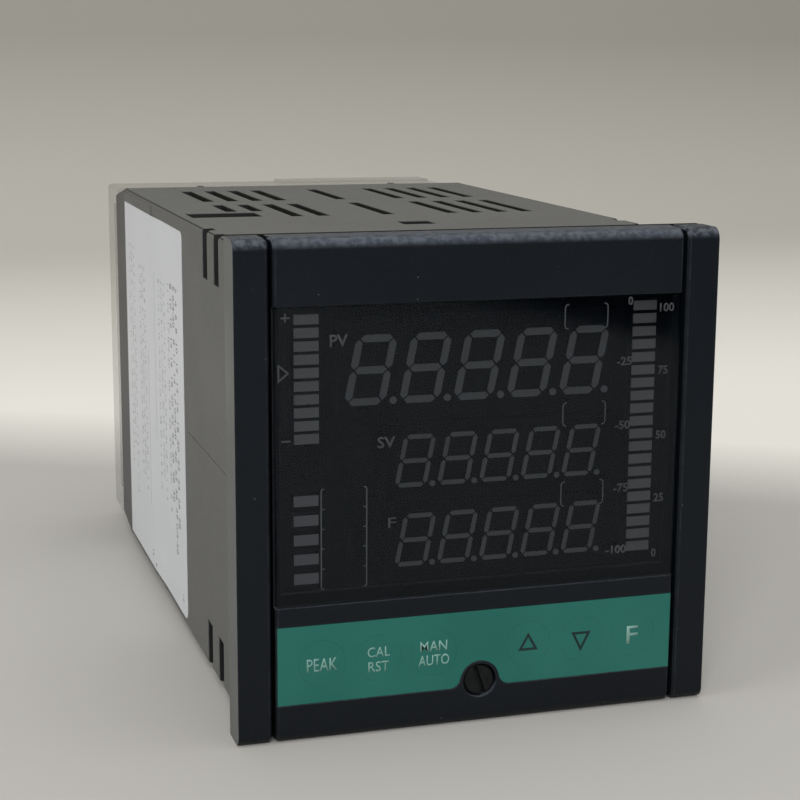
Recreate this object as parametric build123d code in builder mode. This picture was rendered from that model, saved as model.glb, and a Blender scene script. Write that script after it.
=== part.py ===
from build123d import *
import math
import os

# Panel temperature controller, quarter size front.
# X runs to the right seen from the front, Y runs backwards, Z runs up.
# The origin is at the centre of the footprint, at the lowest edge of the bezel.
# Every "depth" below is measured backwards from the front face of the bezel.

# Driving sizes
bezel_width = 96.0
bezel_height = 96.0
bezel_depth = 7.8
sleeve_length = 139.2
housing_length = 14.5
cover_depth = 17.2

# The layout keeps its proportions when one of the driving sizes changes
standard_front = 96.0
standard_length = 139.2
scale_x = bezel_width / standard_front
scale_y = sleeve_length / standard_length
scale_z = bezel_height / standard_front
scale_round = min(scale_x, scale_z)

# Front
bezel_edge_radius = 2.3
bar_width = 6.5 * scale_x
groove_gap = 0.85
groove_edge_chamfer = 0.45
gasket_thickness = 1.8
gasket_side_inset = 0.5
gasket_sleeve_gap = 0.1

# Case
flange_side = 2.2
flange_rise = 2.0
sleeve_wall = 2.0
sleeve_corner = 1.0
sleeve_step = 0.3
step_left_length = 41.0
step_right_length = 59.0
case_frame_thickness = 2.0
case_frame_inset = 1.4
frame_side_rim = 4.8
frame_rise_rim = 3.0
parting_groove = 0.3
parting_start = 12.2
parting_length = 41.0
guide_front_gap = 12.0
guide_rear_gap = 3.0

# Vent slots and openings in the sleeve, measured behind the flange
slot_width = 2.8 * scale_x
slot_pitch = 5.87 * scale_x
slot_group_centre = 23.5 * scale_x
slots_per_group = 4
front_slot_start = 54.5 * scale_y
slot_length = 31.5 * scale_y
slot_row_gap = 8.5 * scale_y
port_width = 15.4 * scale_x
port_length = 10.2 * scale_y
port_edge = 28.0 * scale_x
port_start = 55.7 * scale_y
short_slot_start = 68.2 * scale_y
catch_width = 7.1
catch_length = 6.8
catch_start = 32.2

# Slots for the mounting brackets, at all four long edges
bracket_slot_width = 5.4
bracket_slot_height = 10.0
bracket_slot_depth = 2.2
bracket_slot_starts = (17.8, 29.3)

# Rear housing and terminals
housing_drop = 2.4
housing_wall = 2.0
housing_spigot = 7.0
housing_spigot_gap = 0.15
housing_plate_gap = 2.0
housing_plate = 2.5
hook_width = 1.5
hook_height = 0.2
hook_length = 1.2
hook_position = 25.8 * scale_x
strip_width = 24.0 * scale_x
strip_pitch = 29.5 * scale_x
terminal_pitch = 8.0 * scale_z
terminals_per_strip = 10
strip_base = 6.5
barrier_thickness = 1.4
barrier_height = 5.0
clamp_barrier_gap = 0.2
clamp_thickness = 1.0
clamp_margin = 0.5
terminal_head_height = 2.0
terminal_shank_radius = 1.4 * scale_round
terminal_shank_length = 5.0
terminal_slot_width = 0.8
terminal_slot_depth = 1.0
fastener_clearance = 0.2

# Side label, from the sleeve's edges
label_front_reach = 40.2 * scale_y
label_back_gap = 1.8
label_bottom_gap = 2.0
label_top_gap = 3.2
label_thickness = 0.15
label_corner = 2.0
label_slope = 14.0

# Clear terminal cover
cover_side_inset = 0.3
cover_rise_inset = 1.2
cover_wall = 1.3
cover_fit = 0.25
cover_lip = 3.5
cover_lip_wall = 1.5
cover_post = 4.0
cover_tab_left = 1.0 * scale_x
cover_tab_right = 43.5 * scale_x
cover_tab_rise = 0.6
cover_tab_length = 9.0
wire_notch_width = 20.0 * scale_x
wire_notch_length = 11.0
wire_notch_gap = 0.5

# Slide-out instrument: front
bezel_plate = 3.0
bezel_rim_wall = 2.6
bezel_rim_depth = 5.4
skirt_thickness = 1.1
seal_thickness = 0.35
seal_width = 1.2
seal_side_gap = 0.1
seal_skirt_gap = 0.2
window_bottom = 26.7 * scale_z
window_top = 83.6 * scale_z
window_thickness = 1.5
window_recess = 1.65
window_edge_gap = 0.1
sheet_side_inset = 0.3
aperture_side_ledge = 1.4
aperture_bottom_ledge = 2.2
aperture_top_ledge = 0.5
film_bottom = 7.55 * scale_z
film_top = 22.95 * scale_z
film_front = 0.05
film_thickness = 0.25
film_edge_gap = 0.1
film_arch_radius = 4.05
film_arch_fillet = 2.2

# Keys
key_columns = [place * scale_x for place in (-31.7, -20.5, -9.4, 10.0, 21.2, 32.3)]
key_names = ("key_peak", "key_calibrate", "key_auto", "key_raise", "key_lower", "key_function")
key_row = 15.25 * scale_z
key_radius = 4.6 * scale_round
key_film_gap = 0.02
key_plate_gap = 0.2
key_collar_lap = 0.6 * scale_round
key_collar_thickness = 0.6
key_collar_gap = 0.3
key_stem_radius = 1.6
key_travel = 0.35
switch_size = 6.0 * scale_round
switch_height = 3.2
switch_button_radius = 1.5
switch_button_height = 0.3
switch_button_gap = 0.1

# Captive front screw
screw_height = 8.7 * scale_z
screw_head_radius = 3.1
screw_head_thickness = 1.9
screw_head_recess = 0.35
screw_pocket_gap = 0.3
screw_shank_radius = 1.5
screw_shank_length = 9.4
screw_slot_width = 0.9
screw_slot_depth = 1.0
screw_slot_angle = -18.6
screw_head_chamfer = 0.3
screw_boss_radius = 4.6
screw_boss_back = 4.4
screw_clip_radius = 2.8
screw_clip_thickness = 0.6
screw_clip_gap = 0.1
screw_hole_gap = 0.15
insert_radius = 2.5
insert_length = 6.0
insert_gap = 0.05
insert_boss_radius = 4.0
insert_boss_end = 1.0
tab_width = 11.0 * scale_x
tab_above_screw = 4.5
tab_clearance = 1.4

# Displays
display_front = 2.0
module_depth = 7.0
segment_thickness = 0.25
display_slant = 10.0
dot_offset = 2.4 * scale_x
dot_scale = 1.15
bar_end_gap = 0.12
mask_thickness = 0.8
mask_gap = 0.2
mask_lap = 1.6
module_gap = 0.1
digits_per_row = 5
bar_segment_height = 2.1 * scale_z
deviation_left = -36.46 * scale_x
deviation_width = 4.9 * scale_x
deviation_top = 82.0 * scale_z
deviation_pitch = 2.49 * scale_z
deviation_count = 10
level_left = 31.02 * scale_x
level_width = 5.0 * scale_x
level_top = 82.2 * scale_z
level_pitch = 2.542 * scale_z
level_count = 20
bar_module_margin = 0.7
lamp_left = -36.65 * scale_x
lamp_width = 4.8 * scale_x
lamp_height = 2.4 * scale_z
lamp_top = 47.97 * scale_z
lamp_pitch = 3.82 * scale_z
lamp_count = 5

# Boards
board_thickness = 1.6
carrier_side_gap = 1.2
carrier_rise_gap = 1.2
carrier_thickness = 2.0
carrier_side = 2.5
carrier_tab_gap = 1.9
carrier_top_rail = 5.8
display_board_side_gap = 1.5
display_board_rise_gap = 1.0
boss_top_rise = 4.0
boss_bottom_rise = 2.8
boss_top_x = 30.0 * scale_x
boss_bottom_x = 26.2 * scale_x
boss_radius = 2.2
boss_hole_radius = 0.9
boss_hole_depth = 5.0
carrier_screw_radius = 0.85
carrier_screw_head_radius = 2.0
carrier_screw_head = 1.5
carrier_screw_reach = 4.0
carrier_ear = 1.4
carrier_ear_depth = 5.5
carrier_ear_height = 5.0
carrier_ear_inset = 0.4
ear_gap = 0.1
side_board_inset = 1.8
middle_board = 9.0 * scale_x
board_rise_gap = 2.2
board_end_gap = 0.5
guide_gap = 0.3
guide_thickness = 1.1
guide_reach = 4.4
header_width = 2.8
header_depth = 5.4
header_length = 40.0
socket_width = 6.0
socket_depth = 10.0
socket_length = 70.0 * scale_z
socket_slot_depth = 5.5
relay_width = 10.0
relay_length = 28.0 * scale_y
relay_height = 15.0 * scale_x
relay_count = 4
relay_pitch = 18.0 * scale_z
relay_back_gap = 16.0 * scale_y
capacitor_radius = 8.0
capacitor_length = 20.0 * scale_x
capacitor_depth = 34.0 * scale_y
capacitor_rise = 18.0 * scale_z
transformer_start = 56.0 * scale_y
transformer_length = 36.0 * scale_y
transformer_height = 32.0 * scale_z
transformer_stack = 15.0 * scale_x
transformer_limb = 6.0
transformer_middle_limb = 8.0
winding_thickness = 4.0 * scale_x
winding_gap = 0.3

# Chips: share of the board's length, height above the middle, length and height
chip_thickness = 1.6
chips = (
    dict(share=0.27, rise=2.0, length=24.0, height=24.0),
    dict(share=0.53, rise=14.0, length=18.0, height=10.0),
    dict(share=0.53, rise=-10.0, length=18.0, height=10.0),
    dict(share=0.76, rise=2.0, length=14.0, height=14.0),
)

# Small and hidden rounds have few sides, so that the model stays light
disc_sides = 24
key_sides = 16
head_sides = 12
small_head_sides = 8
shank_sides = 4
dot_sides = 8

# Derived sizes
sleeve_width = bezel_width - 2 * flange_side
sleeve_height = bezel_height - 2 * flange_rise
front_sleeve_width = sleeve_width - 2 * sleeve_step
cavity_width = front_sleeve_width - 2 * sleeve_wall
cavity_height = sleeve_height - 2 * sleeve_wall
opening_width = sleeve_width - 2 * frame_side_rim
opening_height = sleeve_height - 2 * frame_rise_rim
carrier_width = opening_width - 2 * carrier_side_gap
carrier_height = opening_height - 2 * carrier_rise_gap
display_board_width = opening_width - 2 * display_board_side_gap
display_board_height = opening_height - 2 * display_board_rise_gap
board_height = opening_height - 2 * board_rise_gap
cover_width = sleeve_width - 2 * cover_side_inset
cover_height = sleeve_height - 2 * cover_rise_inset
cover_inner_width = cover_width - 2 * cover_wall
cover_inner_height = cover_height - 2 * cover_wall
clamp_size = terminal_pitch - barrier_thickness - 2 * clamp_barrier_gap
terminal_head_radius = clamp_size / 2 - clamp_margin
key_collar_radius = key_radius + key_collar_lap

# Derived depths and places
middle = bezel_height / 2
sleeve_back = bezel_depth + sleeve_length
step_left_depth = sleeve_back - step_left_length
step_right_depth = sleeve_back - step_right_length
housing_back = sleeve_back + housing_length
cover_back = housing_back + cover_depth
front_y = -cover_back / 2
bar_inner = bezel_width / 2 - bar_width
centre_half = bar_inner - groove_gap
frame_front = bezel_depth - case_frame_thickness
opening_bottom = middle - opening_height / 2
aperture_half = centre_half - aperture_side_ledge
aperture_bottom = window_bottom + aperture_bottom_ledge
aperture_top = window_top - aperture_top_ledge
film_back = film_front + film_thickness
display_board_front = display_front + module_depth
display_board_back = display_board_front + board_thickness
carrier_back = display_board_back + carrier_thickness
housing_plate_front = sleeve_back + housing_plate_gap
housing_plate_back = housing_plate_front + housing_plate
socket_front = housing_plate_front - socket_depth
board_back = socket_front + socket_slot_depth - board_end_gap
board_bottom = middle - board_height / 2
board_places = (side_board_inset - carrier_width / 2, middle_board, carrier_width / 2 - side_board_inset)
relay_start = board_back - relay_back_gap - relay_length
terminal_floor = housing_plate_back + strip_base
tab_top = screw_height + tab_above_screw
tab_notch_half = tab_width / 2 + tab_clearance
tab_notch_top = tab_top + tab_clearance
carrier_bottom = tab_notch_top + carrier_tab_gap
carrier_top = middle + carrier_height / 2 - carrier_top_rail
upper_bosses = carrier_top + boss_top_rise
lower_bosses = middle - carrier_height / 2 + boss_bottom_rise
boss_places = [(side * boss_top_x, upper_bosses) for side in (-1, 1)]
boss_places += [(side * boss_bottom_x, lower_bosses) for side in (-1, 1)]


def digit_row(left, bottom, height, width, pitch, stroke):
    # One row of digits, fitted to the size of the front
    return dict(
        left=left * scale_x,
        bottom=bottom * scale_z,
        height=height * scale_z,
        width=width * scale_x,
        pitch=pitch * scale_x,
        stroke=stroke * scale_round,
    )


def module_extent(left, right, bottom, top):
    return (left * scale_x, right * scale_x, bottom * scale_z, top * scale_z)


pv_digit = digit_row(left=-25.9, bottom=64.45, height=13.0, width=6.2, pitch=10.66, stroke=1.15)
sv_digit = digit_row(left=-16.45, bottom=48.35, height=9.45, width=5.1, pitch=8.46, stroke=0.75)
set_digit = digit_row(left=-16.25, bottom=32.85, height=9.45, width=5.1, pitch=8.51, stroke=0.75)
pv_module = module_extent(left=-28.4, right=28.4, bottom=61.7, top=80.7)
sv_module = module_extent(left=-19.0, right=28.4, bottom=46.2, top=60.2)
set_module = module_extent(left=-19.0, right=28.4, bottom=30.7, top=44.7)


def y_at(depth):
    return front_y + depth


def front_plane(depth):
    # A sketch plane seen from the front: local x is X, local y is Z, negative extrusion runs backwards
    return Plane(origin=(0, y_at(depth), 0), x_dir=(1, 0, 0), z_dir=(0, -1, 0))


def block(x_range, depth_range, z_range, mode=Mode.ADD):
    size = (x_range[1] - x_range[0], depth_range[1] - depth_range[0], z_range[1] - z_range[0])
    centre = (sum(x_range) / 2, y_at(sum(depth_range) / 2), sum(z_range) / 2)
    with Locations(centre):
        Box(*size, mode=mode)


def rod(x, z, depth_range, radius, mode=Mode.ADD):
    # A round along the depth direction
    with BuildSketch(front_plane(depth_range[0])) as profile:
        with Locations((x, z)):
            Circle(radius)
    extrude(profile.sketch, amount=depth_range[0] - depth_range[1], mode=mode)


def prism(x, z, depth_range, radius, sides, mode=Mode.ADD):
    # A small or hidden round with few sides, along the depth direction
    with BuildSketch(front_plane(depth_range[0])) as profile:
        with Locations((x, z)):
            RegularPolygon(radius, sides)
    extrude(profile.sketch, amount=depth_range[0] - depth_range[1], mode=mode)


def tube_section(width, height, corner, depth_range, mode=Mode.ADD):
    with BuildSketch(front_plane(depth_range[0])) as profile:
        with Locations((0, middle)):
            if corner > 0:
                RectangleRounded(width, height, corner)
            else:
                Rectangle(width, height)
    extrude(profile.sketch, amount=depth_range[0] - depth_range[1], mode=mode)


def front_bar(x_range, depth):
    # A piece of the front with its top and bottom front edges rounded
    with BuildSketch(Plane.YZ.offset(x_range[0])) as profile:
        with Locations((y_at(depth / 2), middle)):
            Rectangle(depth, bezel_height)
        fillet(profile.vertices().group_by(Axis.X)[0], bezel_edge_radius)
    extrude(profile.sketch, amount=x_range[1] - x_range[0])


os.makedirs("parts", exist_ok=True)


def save(builder, name):
    builder.part.label = name
    export_step(builder.part, f"parts/{name}.step")


# Case sleeve: front frame with two side bars, thin-walled tube, vents, bracket slots, board guides
vent_columns = [0.0]
for place in range(slots_per_group):
    reach = slot_group_centre + (place - (slots_per_group - 1) / 2) * slot_pitch
    vent_columns += [-reach, reach]
front_slots = (bezel_depth + front_slot_start, bezel_depth + front_slot_start + slot_length)
rear_slots = (front_slots[1] + slot_row_gap, front_slots[1] + slot_row_gap + slot_length)
short_slots = (bezel_depth + short_slot_start, front_slots[1])
port_left = -port_edge - port_width
above = (middle + cavity_height / 2 - 1, middle + sleeve_height / 2 + 1)
below = (middle - sleeve_height / 2 - 1, middle - cavity_height / 2 + 1)

with BuildPart() as case_sleeve:
    front_bar((-bezel_width / 2, -bar_inner), bezel_depth)
    front_bar((bar_inner, bezel_width / 2), bezel_depth)
    inner_edges = case_sleeve.edges().filter_by(Axis.Z).group_by(Axis.Y)[0]
    chamfer([edge for edge in inner_edges if abs(edge.center().X) < bar_inner + 0.1], groove_edge_chamfer)
    frame_rise = (case_frame_inset, bezel_height - case_frame_inset)
    block((-bar_inner - 1, bar_inner + 1), (frame_front, bezel_depth), frame_rise)
    tube_section(front_sleeve_width, sleeve_height, sleeve_corner, (frame_front, sleeve_back))
    # Towards the rear the sleeve is a little wider, from a different depth on each side
    side_steps = ((-1, step_left_depth), (1, step_right_depth))
    side_rise = (middle - sleeve_height / 2 + sleeve_corner, middle + sleeve_height / 2 - sleeve_corner)
    for side, start in side_steps:
        across = (side * sleeve_width / 2, side * front_sleeve_width / 2)
        block((min(across), max(across)), (start, sleeve_back), side_rise)
    tube_section(cavity_width, cavity_height, 0, (bezel_depth, sleeve_back), Mode.SUBTRACT)
    tube_section(opening_width, opening_height, 0, (frame_front, bezel_depth), Mode.SUBTRACT)
    # The tab across the lower edge of the opening carries the insert for the front screw
    block((-tab_width / 2, tab_width / 2), (frame_front, bezel_depth), (opening_bottom - 1, tab_top))
    insert_back = frame_front + insert_length
    boss_depths = (frame_front, insert_back + insert_boss_end)
    prism(0, screw_height, boss_depths, insert_boss_radius, head_sides)
    prism(0, screw_height, (frame_front, insert_back), insert_radius, head_sides, Mode.SUBTRACT)
    rod(0, screw_height, boss_depths, screw_shank_radius + insert_gap, Mode.SUBTRACT)
    roof_thickness = above[1] - above[0]
    slot_places = []
    short_places = []
    for x in vent_columns:
        for rise in (above, below):
            level = sum(rise) / 2
            slot_places.append((x, y_at(sum(rear_slots) / 2), level))
            if rise is above and x < -port_edge + slot_width:
                short_places.append((x, y_at(sum(short_slots) / 2), level))
            else:
                slot_places.append((x, y_at(sum(front_slots) / 2), level))
    with Locations(slot_places):
        Box(slot_width, slot_length, roof_thickness, mode=Mode.SUBTRACT)
    with Locations(short_places):
        Box(slot_width, short_slots[1] - short_slots[0], roof_thickness, mode=Mode.SUBTRACT)
    port_depths = (bezel_depth + port_start, bezel_depth + port_start + port_length)
    block((port_left, -port_edge), port_depths, above, Mode.SUBTRACT)
    catch_depths = (bezel_depth + catch_start, bezel_depth + catch_start + catch_length)
    block((-catch_width / 2, catch_width / 2), catch_depths, above, Mode.SUBTRACT)
    for side in (-1, 1):
        outer = side * (front_sleeve_width / 2 + 1)
        inner = side * (front_sleeve_width / 2 - bracket_slot_depth)
        across = (min(outer, inner), max(outer, inner))
        for start in bracket_slot_starts:
            span = (bezel_depth + start, bezel_depth + start + bracket_slot_width)
            top = middle + sleeve_height / 2
            bottom = middle - sleeve_height / 2
            block(across, span, (top - bracket_slot_height, top + 1), Mode.SUBTRACT)
            block(across, span, (bottom - 1, bottom + bracket_slot_height), Mode.SUBTRACT)
        line_x = side * front_sleeve_width / 2
        line_across = (line_x - parting_groove / 2, line_x + parting_groove / 2)
        line_rise = (middle - parting_groove / 2, middle + parting_groove / 2)
        line_span = (bezel_depth + parting_start, bezel_depth + parting_start + parting_length)
        block(line_across, line_span, line_rise, Mode.SUBTRACT)
    # Pairs of ribs at the floor and roof of the cavity guide the three boards
    for x in board_places:
        for side in (-1, 1):
            near = x + side * (board_thickness / 2 + guide_gap)
            far = near + side * guide_thickness
            across = (min(near, far), max(near, far))
            span = (bezel_depth + guide_front_gap, socket_front - guide_rear_gap)
            floor = middle - cavity_height / 2
            roof = middle + cavity_height / 2
            block(across, span, (floor - 0.5, floor + guide_reach))
            block(across, span, (roof - guide_reach, roof + 0.5))
save(case_sleeve, "case_sleeve")

# Panel gasket: flat rubber ring behind the flange
with BuildPart() as panel_gasket:
    with BuildSketch(front_plane(bezel_depth)):
        with Locations((0, middle)):
            Rectangle(bezel_width - 2 * gasket_side_inset, bezel_height)
            fit = 2 * gasket_sleeve_gap
            Rectangle(front_sleeve_width + fit, sleeve_height + fit, mode=Mode.SUBTRACT)
    extrude(amount=-gasket_thickness)
save(panel_gasket, "panel_gasket")

# Side label: one thin sheet that eases over the small step in the sleeve's side
with BuildPart() as side_label:
    label_bottom = middle - sleeve_height / 2 + label_bottom_gap
    label_top = middle + sleeve_height / 2 - label_top_gap
    label_front = y_at(step_left_depth - label_front_reach)
    label_back = y_at(sleeve_back - label_back_gap)
    slope_start = y_at(step_left_depth - label_slope)
    step_y = y_at(step_left_depth)
    front_x = -front_sleeve_width / 2
    rear_x = -sleeve_width / 2
    with BuildSketch(Plane.XY.offset(label_bottom)):
        with BuildLine():
            Polyline(
                (front_x, label_front),
                (front_x - label_thickness, label_front),
                (front_x - label_thickness, slope_start),
                (rear_x - label_thickness, step_y),
                (rear_x - label_thickness, label_back),
                (rear_x, label_back),
                (rear_x, step_y),
                (front_x, slope_start),
                close=True,
            )
        make_face()
    extrude(amount=label_top - label_bottom)
    front_corners = side_label.edges().filter_by(Axis.X).group_by(Axis.Y)[0]
    fillet(front_corners, label_corner)
save(side_label, "side_label")

# Threaded insert for the front screw, seated in the tab of the sleeve
with BuildPart() as screw_insert:
    prism(0, screw_height, (frame_front, insert_back), insert_radius, head_sides)
    rod(0, screw_height, (frame_front, insert_back), screw_shank_radius + insert_gap, Mode.SUBTRACT)
save(screw_insert, "screw_insert")

# Rear housing: spigot inside the sleeve, walls that taper at top and bottom, and the terminal plate
with BuildPart() as rear_housing:
    with BuildSketch(Plane.YZ.offset(-sleeve_width / 2)):
        with BuildLine():
            Polyline(
                (y_at(sleeve_back), middle - sleeve_height / 2),
                (y_at(housing_back), middle - sleeve_height / 2 + housing_drop),
                (y_at(housing_back), middle + sleeve_height / 2 - housing_drop),
                (y_at(sleeve_back), middle + sleeve_height / 2),
                close=True,
            )
        make_face()
    extrude(amount=sleeve_width)
    long_edges = rear_housing.edges().filter_by(lambda edge: abs(edge.tangent_at(0.5).Y) > 0.9)
    fillet(long_edges, sleeve_corner)
    spigot_width = cavity_width - 2 * housing_spigot_gap
    spigot_height = cavity_height - 2 * housing_spigot_gap
    tube_section(spigot_width, spigot_height, 0, (sleeve_back - housing_spigot, sleeve_back))
    lip_width = cover_inner_width - 2 * cover_fit
    lip_height = cover_inner_height - 2 * cover_fit
    lip_back = housing_back + cover_lip
    tube_section(lip_width, lip_height, 0, (housing_back, lip_back))
    hollow_width = lip_width - 2 * cover_lip_wall
    hollow_height = lip_height - 2 * cover_lip_wall
    tube_section(hollow_width, hollow_height, 0, (housing_plate_back, lip_back), Mode.SUBTRACT)
    spigot_depths = (sleeve_back - housing_spigot, housing_plate_front)
    spigot_inside = (spigot_width - 2 * housing_wall, spigot_height - 2 * housing_wall)
    tube_section(*spigot_inside, 0, spigot_depths, Mode.SUBTRACT)
    # Four snap hooks show as small bumps at the rear edge of the sleeve
    hook_places = []
    for x in (-hook_position, hook_position):
        for level in (middle - sleeve_height / 2, middle + sleeve_height / 2):
            hook_places.append((x, y_at(sleeve_back + hook_length / 2), level))
    with Locations(hook_places):
        Box(hook_width, hook_length, 2 * hook_height)
save(rear_housing, "rear_housing")

# Terminal strips, their clamp plates and screws
strip_height = terminal_pitch * terminals_per_strip
first_terminal = middle - strip_height / 2 + terminal_pitch / 2
strip_places = {
    "terminal_strip_left": -strip_pitch,
    "terminal_strip_middle": 0.0,
    "terminal_strip_right": strip_pitch,
}
terminal_places = []
for strip_x in strip_places.values():
    for row in range(terminals_per_strip):
        terminal_places.append((strip_x, first_terminal + row * terminal_pitch))

for strip_name, strip_x in strip_places.items():
    with BuildPart() as terminal_strip:
        across = (strip_x - strip_width / 2, strip_x + strip_width / 2)
        strip_reach = strip_height / 2 + barrier_thickness / 2
        rise = (middle - strip_reach, middle + strip_reach)
        block(across, (housing_plate_back, terminal_floor), rise)
        walls = []
        for row in range(terminals_per_strip + 1):
            level = middle - strip_height / 2 + row * terminal_pitch
            walls.append((strip_x, y_at(terminal_floor + barrier_height / 2), level))
        with Locations(walls):
            Box(strip_width, barrier_height, barrier_thickness)
        holes = [(x, z) for x, z in terminal_places if x == strip_x]
        with BuildSketch(front_plane(terminal_floor)):
            with Locations(holes):
                RegularPolygon(terminal_shank_radius + fastener_clearance, shank_sides)
        extrude(amount=terminal_shank_length, mode=Mode.SUBTRACT)
    save(terminal_strip, strip_name)

with BuildPart() as terminal_clamps:
    with BuildSketch(front_plane(terminal_floor)):
        with Locations(terminal_places):
            Rectangle(2 * clamp_size, clamp_size)
            RegularPolygon(terminal_shank_radius + fastener_clearance, shank_sides, mode=Mode.SUBTRACT)
    extrude(amount=-clamp_thickness)
save(terminal_clamps, "terminal_clamps")

with BuildPart() as terminal_screws:
    seat = terminal_floor + clamp_thickness
    with BuildSketch(front_plane(seat)):
        with Locations(terminal_places):
            RegularPolygon(terminal_head_radius, small_head_sides)
    extrude(amount=-terminal_head_height)
    with BuildSketch(front_plane(seat)):
        with Locations(terminal_places):
            RegularPolygon(terminal_shank_radius, shank_sides)
    extrude(amount=terminal_shank_length)
    with BuildSketch(front_plane(seat + terminal_head_height)):
        with Locations(terminal_places):
            Rectangle(3 * terminal_head_radius, terminal_slot_width)
    extrude(amount=terminal_slot_depth, mode=Mode.SUBTRACT)
save(terminal_screws, "terminal_screws")

# Sockets inside the housing that take the rear edges of the boards
with BuildPart() as rear_sockets:
    for x in board_places:
        across = (x - socket_width / 2, x + socket_width / 2)
        rise = (middle - socket_length / 2, middle + socket_length / 2)
        block(across, (socket_front, housing_plate_front), rise)
        slot = (x - board_thickness / 2 - guide_gap, x + board_thickness / 2 + guide_gap)
        slot_depths = (socket_front, socket_front + socket_slot_depth)
        block(slot, slot_depths, (rise[0] - 1, rise[1] + 1), Mode.SUBTRACT)
save(rear_sockets, "rear_sockets")

# Clear terminal cover: a thin box with corner posts, a finger tab and notches for the wires
with BuildPart() as terminal_cover:
    tube_section(cover_width, cover_height, sleeve_corner, (housing_back, cover_back))
    cover_inside = (housing_back, cover_back - cover_wall)
    tube_section(cover_inner_width, cover_inner_height, 0, cover_inside, Mode.SUBTRACT)
    post_front = housing_back + cover_lip + cover_fit
    for x in (-1, 1):
        for z in (-1, 1):
            outer_x = x * (cover_inner_width / 2 + cover_wall / 2)
            inner_x = x * (cover_inner_width / 2 - cover_post)
            outer_z = middle + z * (cover_inner_height / 2 + cover_wall / 2)
            inner_z = middle + z * (cover_inner_height / 2 - cover_post)
            block(
                (min(outer_x, inner_x), max(outer_x, inner_x)),
                (post_front, cover_back - cover_wall / 2),
                (min(outer_z, inner_z), max(outer_z, inner_z)),
            )
    cover_top = middle + cover_height / 2
    block(
        (cover_tab_left, cover_tab_right),
        (cover_back - cover_tab_length, cover_back),
        (cover_top - cover_wall / 2, cover_top + cover_tab_rise),
    )
    notch_front = post_front + wire_notch_gap
    notch_depths = (notch_front, notch_front + wire_notch_length)
    cover_bottom = middle - cover_height / 2
    for x in (-strip_pitch, 0, strip_pitch):
        notch = (x - wire_notch_width / 2, x + wire_notch_width / 2)
        notch_rise = (cover_bottom - 1, cover_bottom + cover_wall + wire_notch_gap)
        block(notch, notch_depths, notch_rise, Mode.SUBTRACT)
save(terminal_cover, "terminal_cover")


def film_outline(width, gap):
    # Outline of the keypad film with its arch over the front screw; the gap widens it for the recess
    bottom = film_bottom - gap
    top = film_top + gap
    with BuildSketch(front_plane(0)) as outline:
        with Locations((0, (bottom + top) / 2)):
            Rectangle(width, top - bottom)
        with Locations((0, screw_height)):
            Circle(film_arch_radius - gap, mode=Mode.SUBTRACT)
        lowest = outline.vertices().group_by(Axis.Y)[0]
        fillet([corner for corner in lowest if abs(corner.X) < film_arch_radius], film_arch_fillet)
    return outline.sketch


# Front bezel of the slide-out instrument
screw_seat = screw_head_recess + screw_head_thickness
with BuildPart() as front_bezel:
    front_bar((-centre_half, centre_half), bezel_rim_depth)
    groove_edges = front_bezel.edges().filter_by(Axis.Z).group_by(Axis.Y)[0]
    chamfer(groove_edges, groove_edge_chamfer)
    full_width = (-centre_half, centre_half)
    block(full_width, (bezel_rim_depth, bezel_depth), (0, skirt_thickness))
    block(full_width, (bezel_rim_depth, bezel_depth), (bezel_height - skirt_thickness, bezel_height))
    aperture_width = (-aperture_half, aperture_half)
    rim_rise = (bezel_rim_wall, bezel_height - bezel_rim_wall)
    block(aperture_width, (bezel_plate, bezel_rim_depth), rim_rise, Mode.SUBTRACT)
    past_sides = (-centre_half - 1, centre_half + 1)
    block(past_sides, (-1, window_recess), (window_bottom, window_top), Mode.SUBTRACT)
    block(aperture_width, (0, bezel_plate), (aperture_bottom, aperture_top), Mode.SUBTRACT)
    extrude(film_outline(2 * centre_half + 2, film_edge_gap), amount=-film_back, mode=Mode.SUBTRACT)
    prism(0, screw_height, (bezel_plate, screw_boss_back), screw_boss_radius, disc_sides)
    rod(0, screw_height, (0, screw_seat), screw_head_radius + screw_pocket_gap, Mode.SUBTRACT)
    rod(0, screw_height, (0, screw_boss_back), screw_shank_radius + screw_hole_gap, Mode.SUBTRACT)
    for x in key_columns:
        prism(x, key_row, (0, bezel_plate), key_radius + key_plate_gap, key_sides, Mode.SUBTRACT)
    for x, z in boss_places:
        prism(x, z, (bezel_plate, display_board_front), boss_radius, small_head_sides)
        pilot = (display_board_front - boss_hole_depth, display_board_front)
        prism(x, z, pilot, boss_hole_radius, shank_sides, Mode.SUBTRACT)
save(front_bezel, "front_bezel")

# Thin seal on the back of the bezel's rim
with BuildPart() as bezel_seal:
    seal_outer_width = 2 * (centre_half - seal_side_gap)
    seal_outer_height = bezel_height - 2 * (skirt_thickness + seal_skirt_gap)
    with BuildSketch(front_plane(bezel_rim_depth)):
        with Locations((0, middle)):
            Rectangle(seal_outer_width, seal_outer_height)
            inner_size = (seal_outer_width - 2 * seal_width, seal_outer_height - 2 * seal_width)
            Rectangle(*inner_size, mode=Mode.SUBTRACT)
    extrude(amount=-seal_thickness)
save(bezel_seal, "bezel_seal")

# Tinted window in its recess
sheet_half = centre_half - sheet_side_inset
with BuildPart() as display_window:
    window_rise = (window_bottom + window_edge_gap, window_top - window_edge_gap)
    block((-sheet_half, sheet_half), (window_recess - window_thickness, window_recess), window_rise)
save(display_window, "display_window")

# Keypad film, with a hole round each key disc
with BuildPart() as keypad_film:
    extrude(film_outline(2 * sheet_half, 0), amount=-film_back)
    block((-bezel_width, bezel_width), (-1, film_front), (0, bezel_height), Mode.SUBTRACT)
    for x in key_columns:
        prism(x, key_row, (0, film_back), key_radius + key_film_gap, key_sides, Mode.SUBTRACT)
save(keypad_film, "keypad_film")

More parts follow.
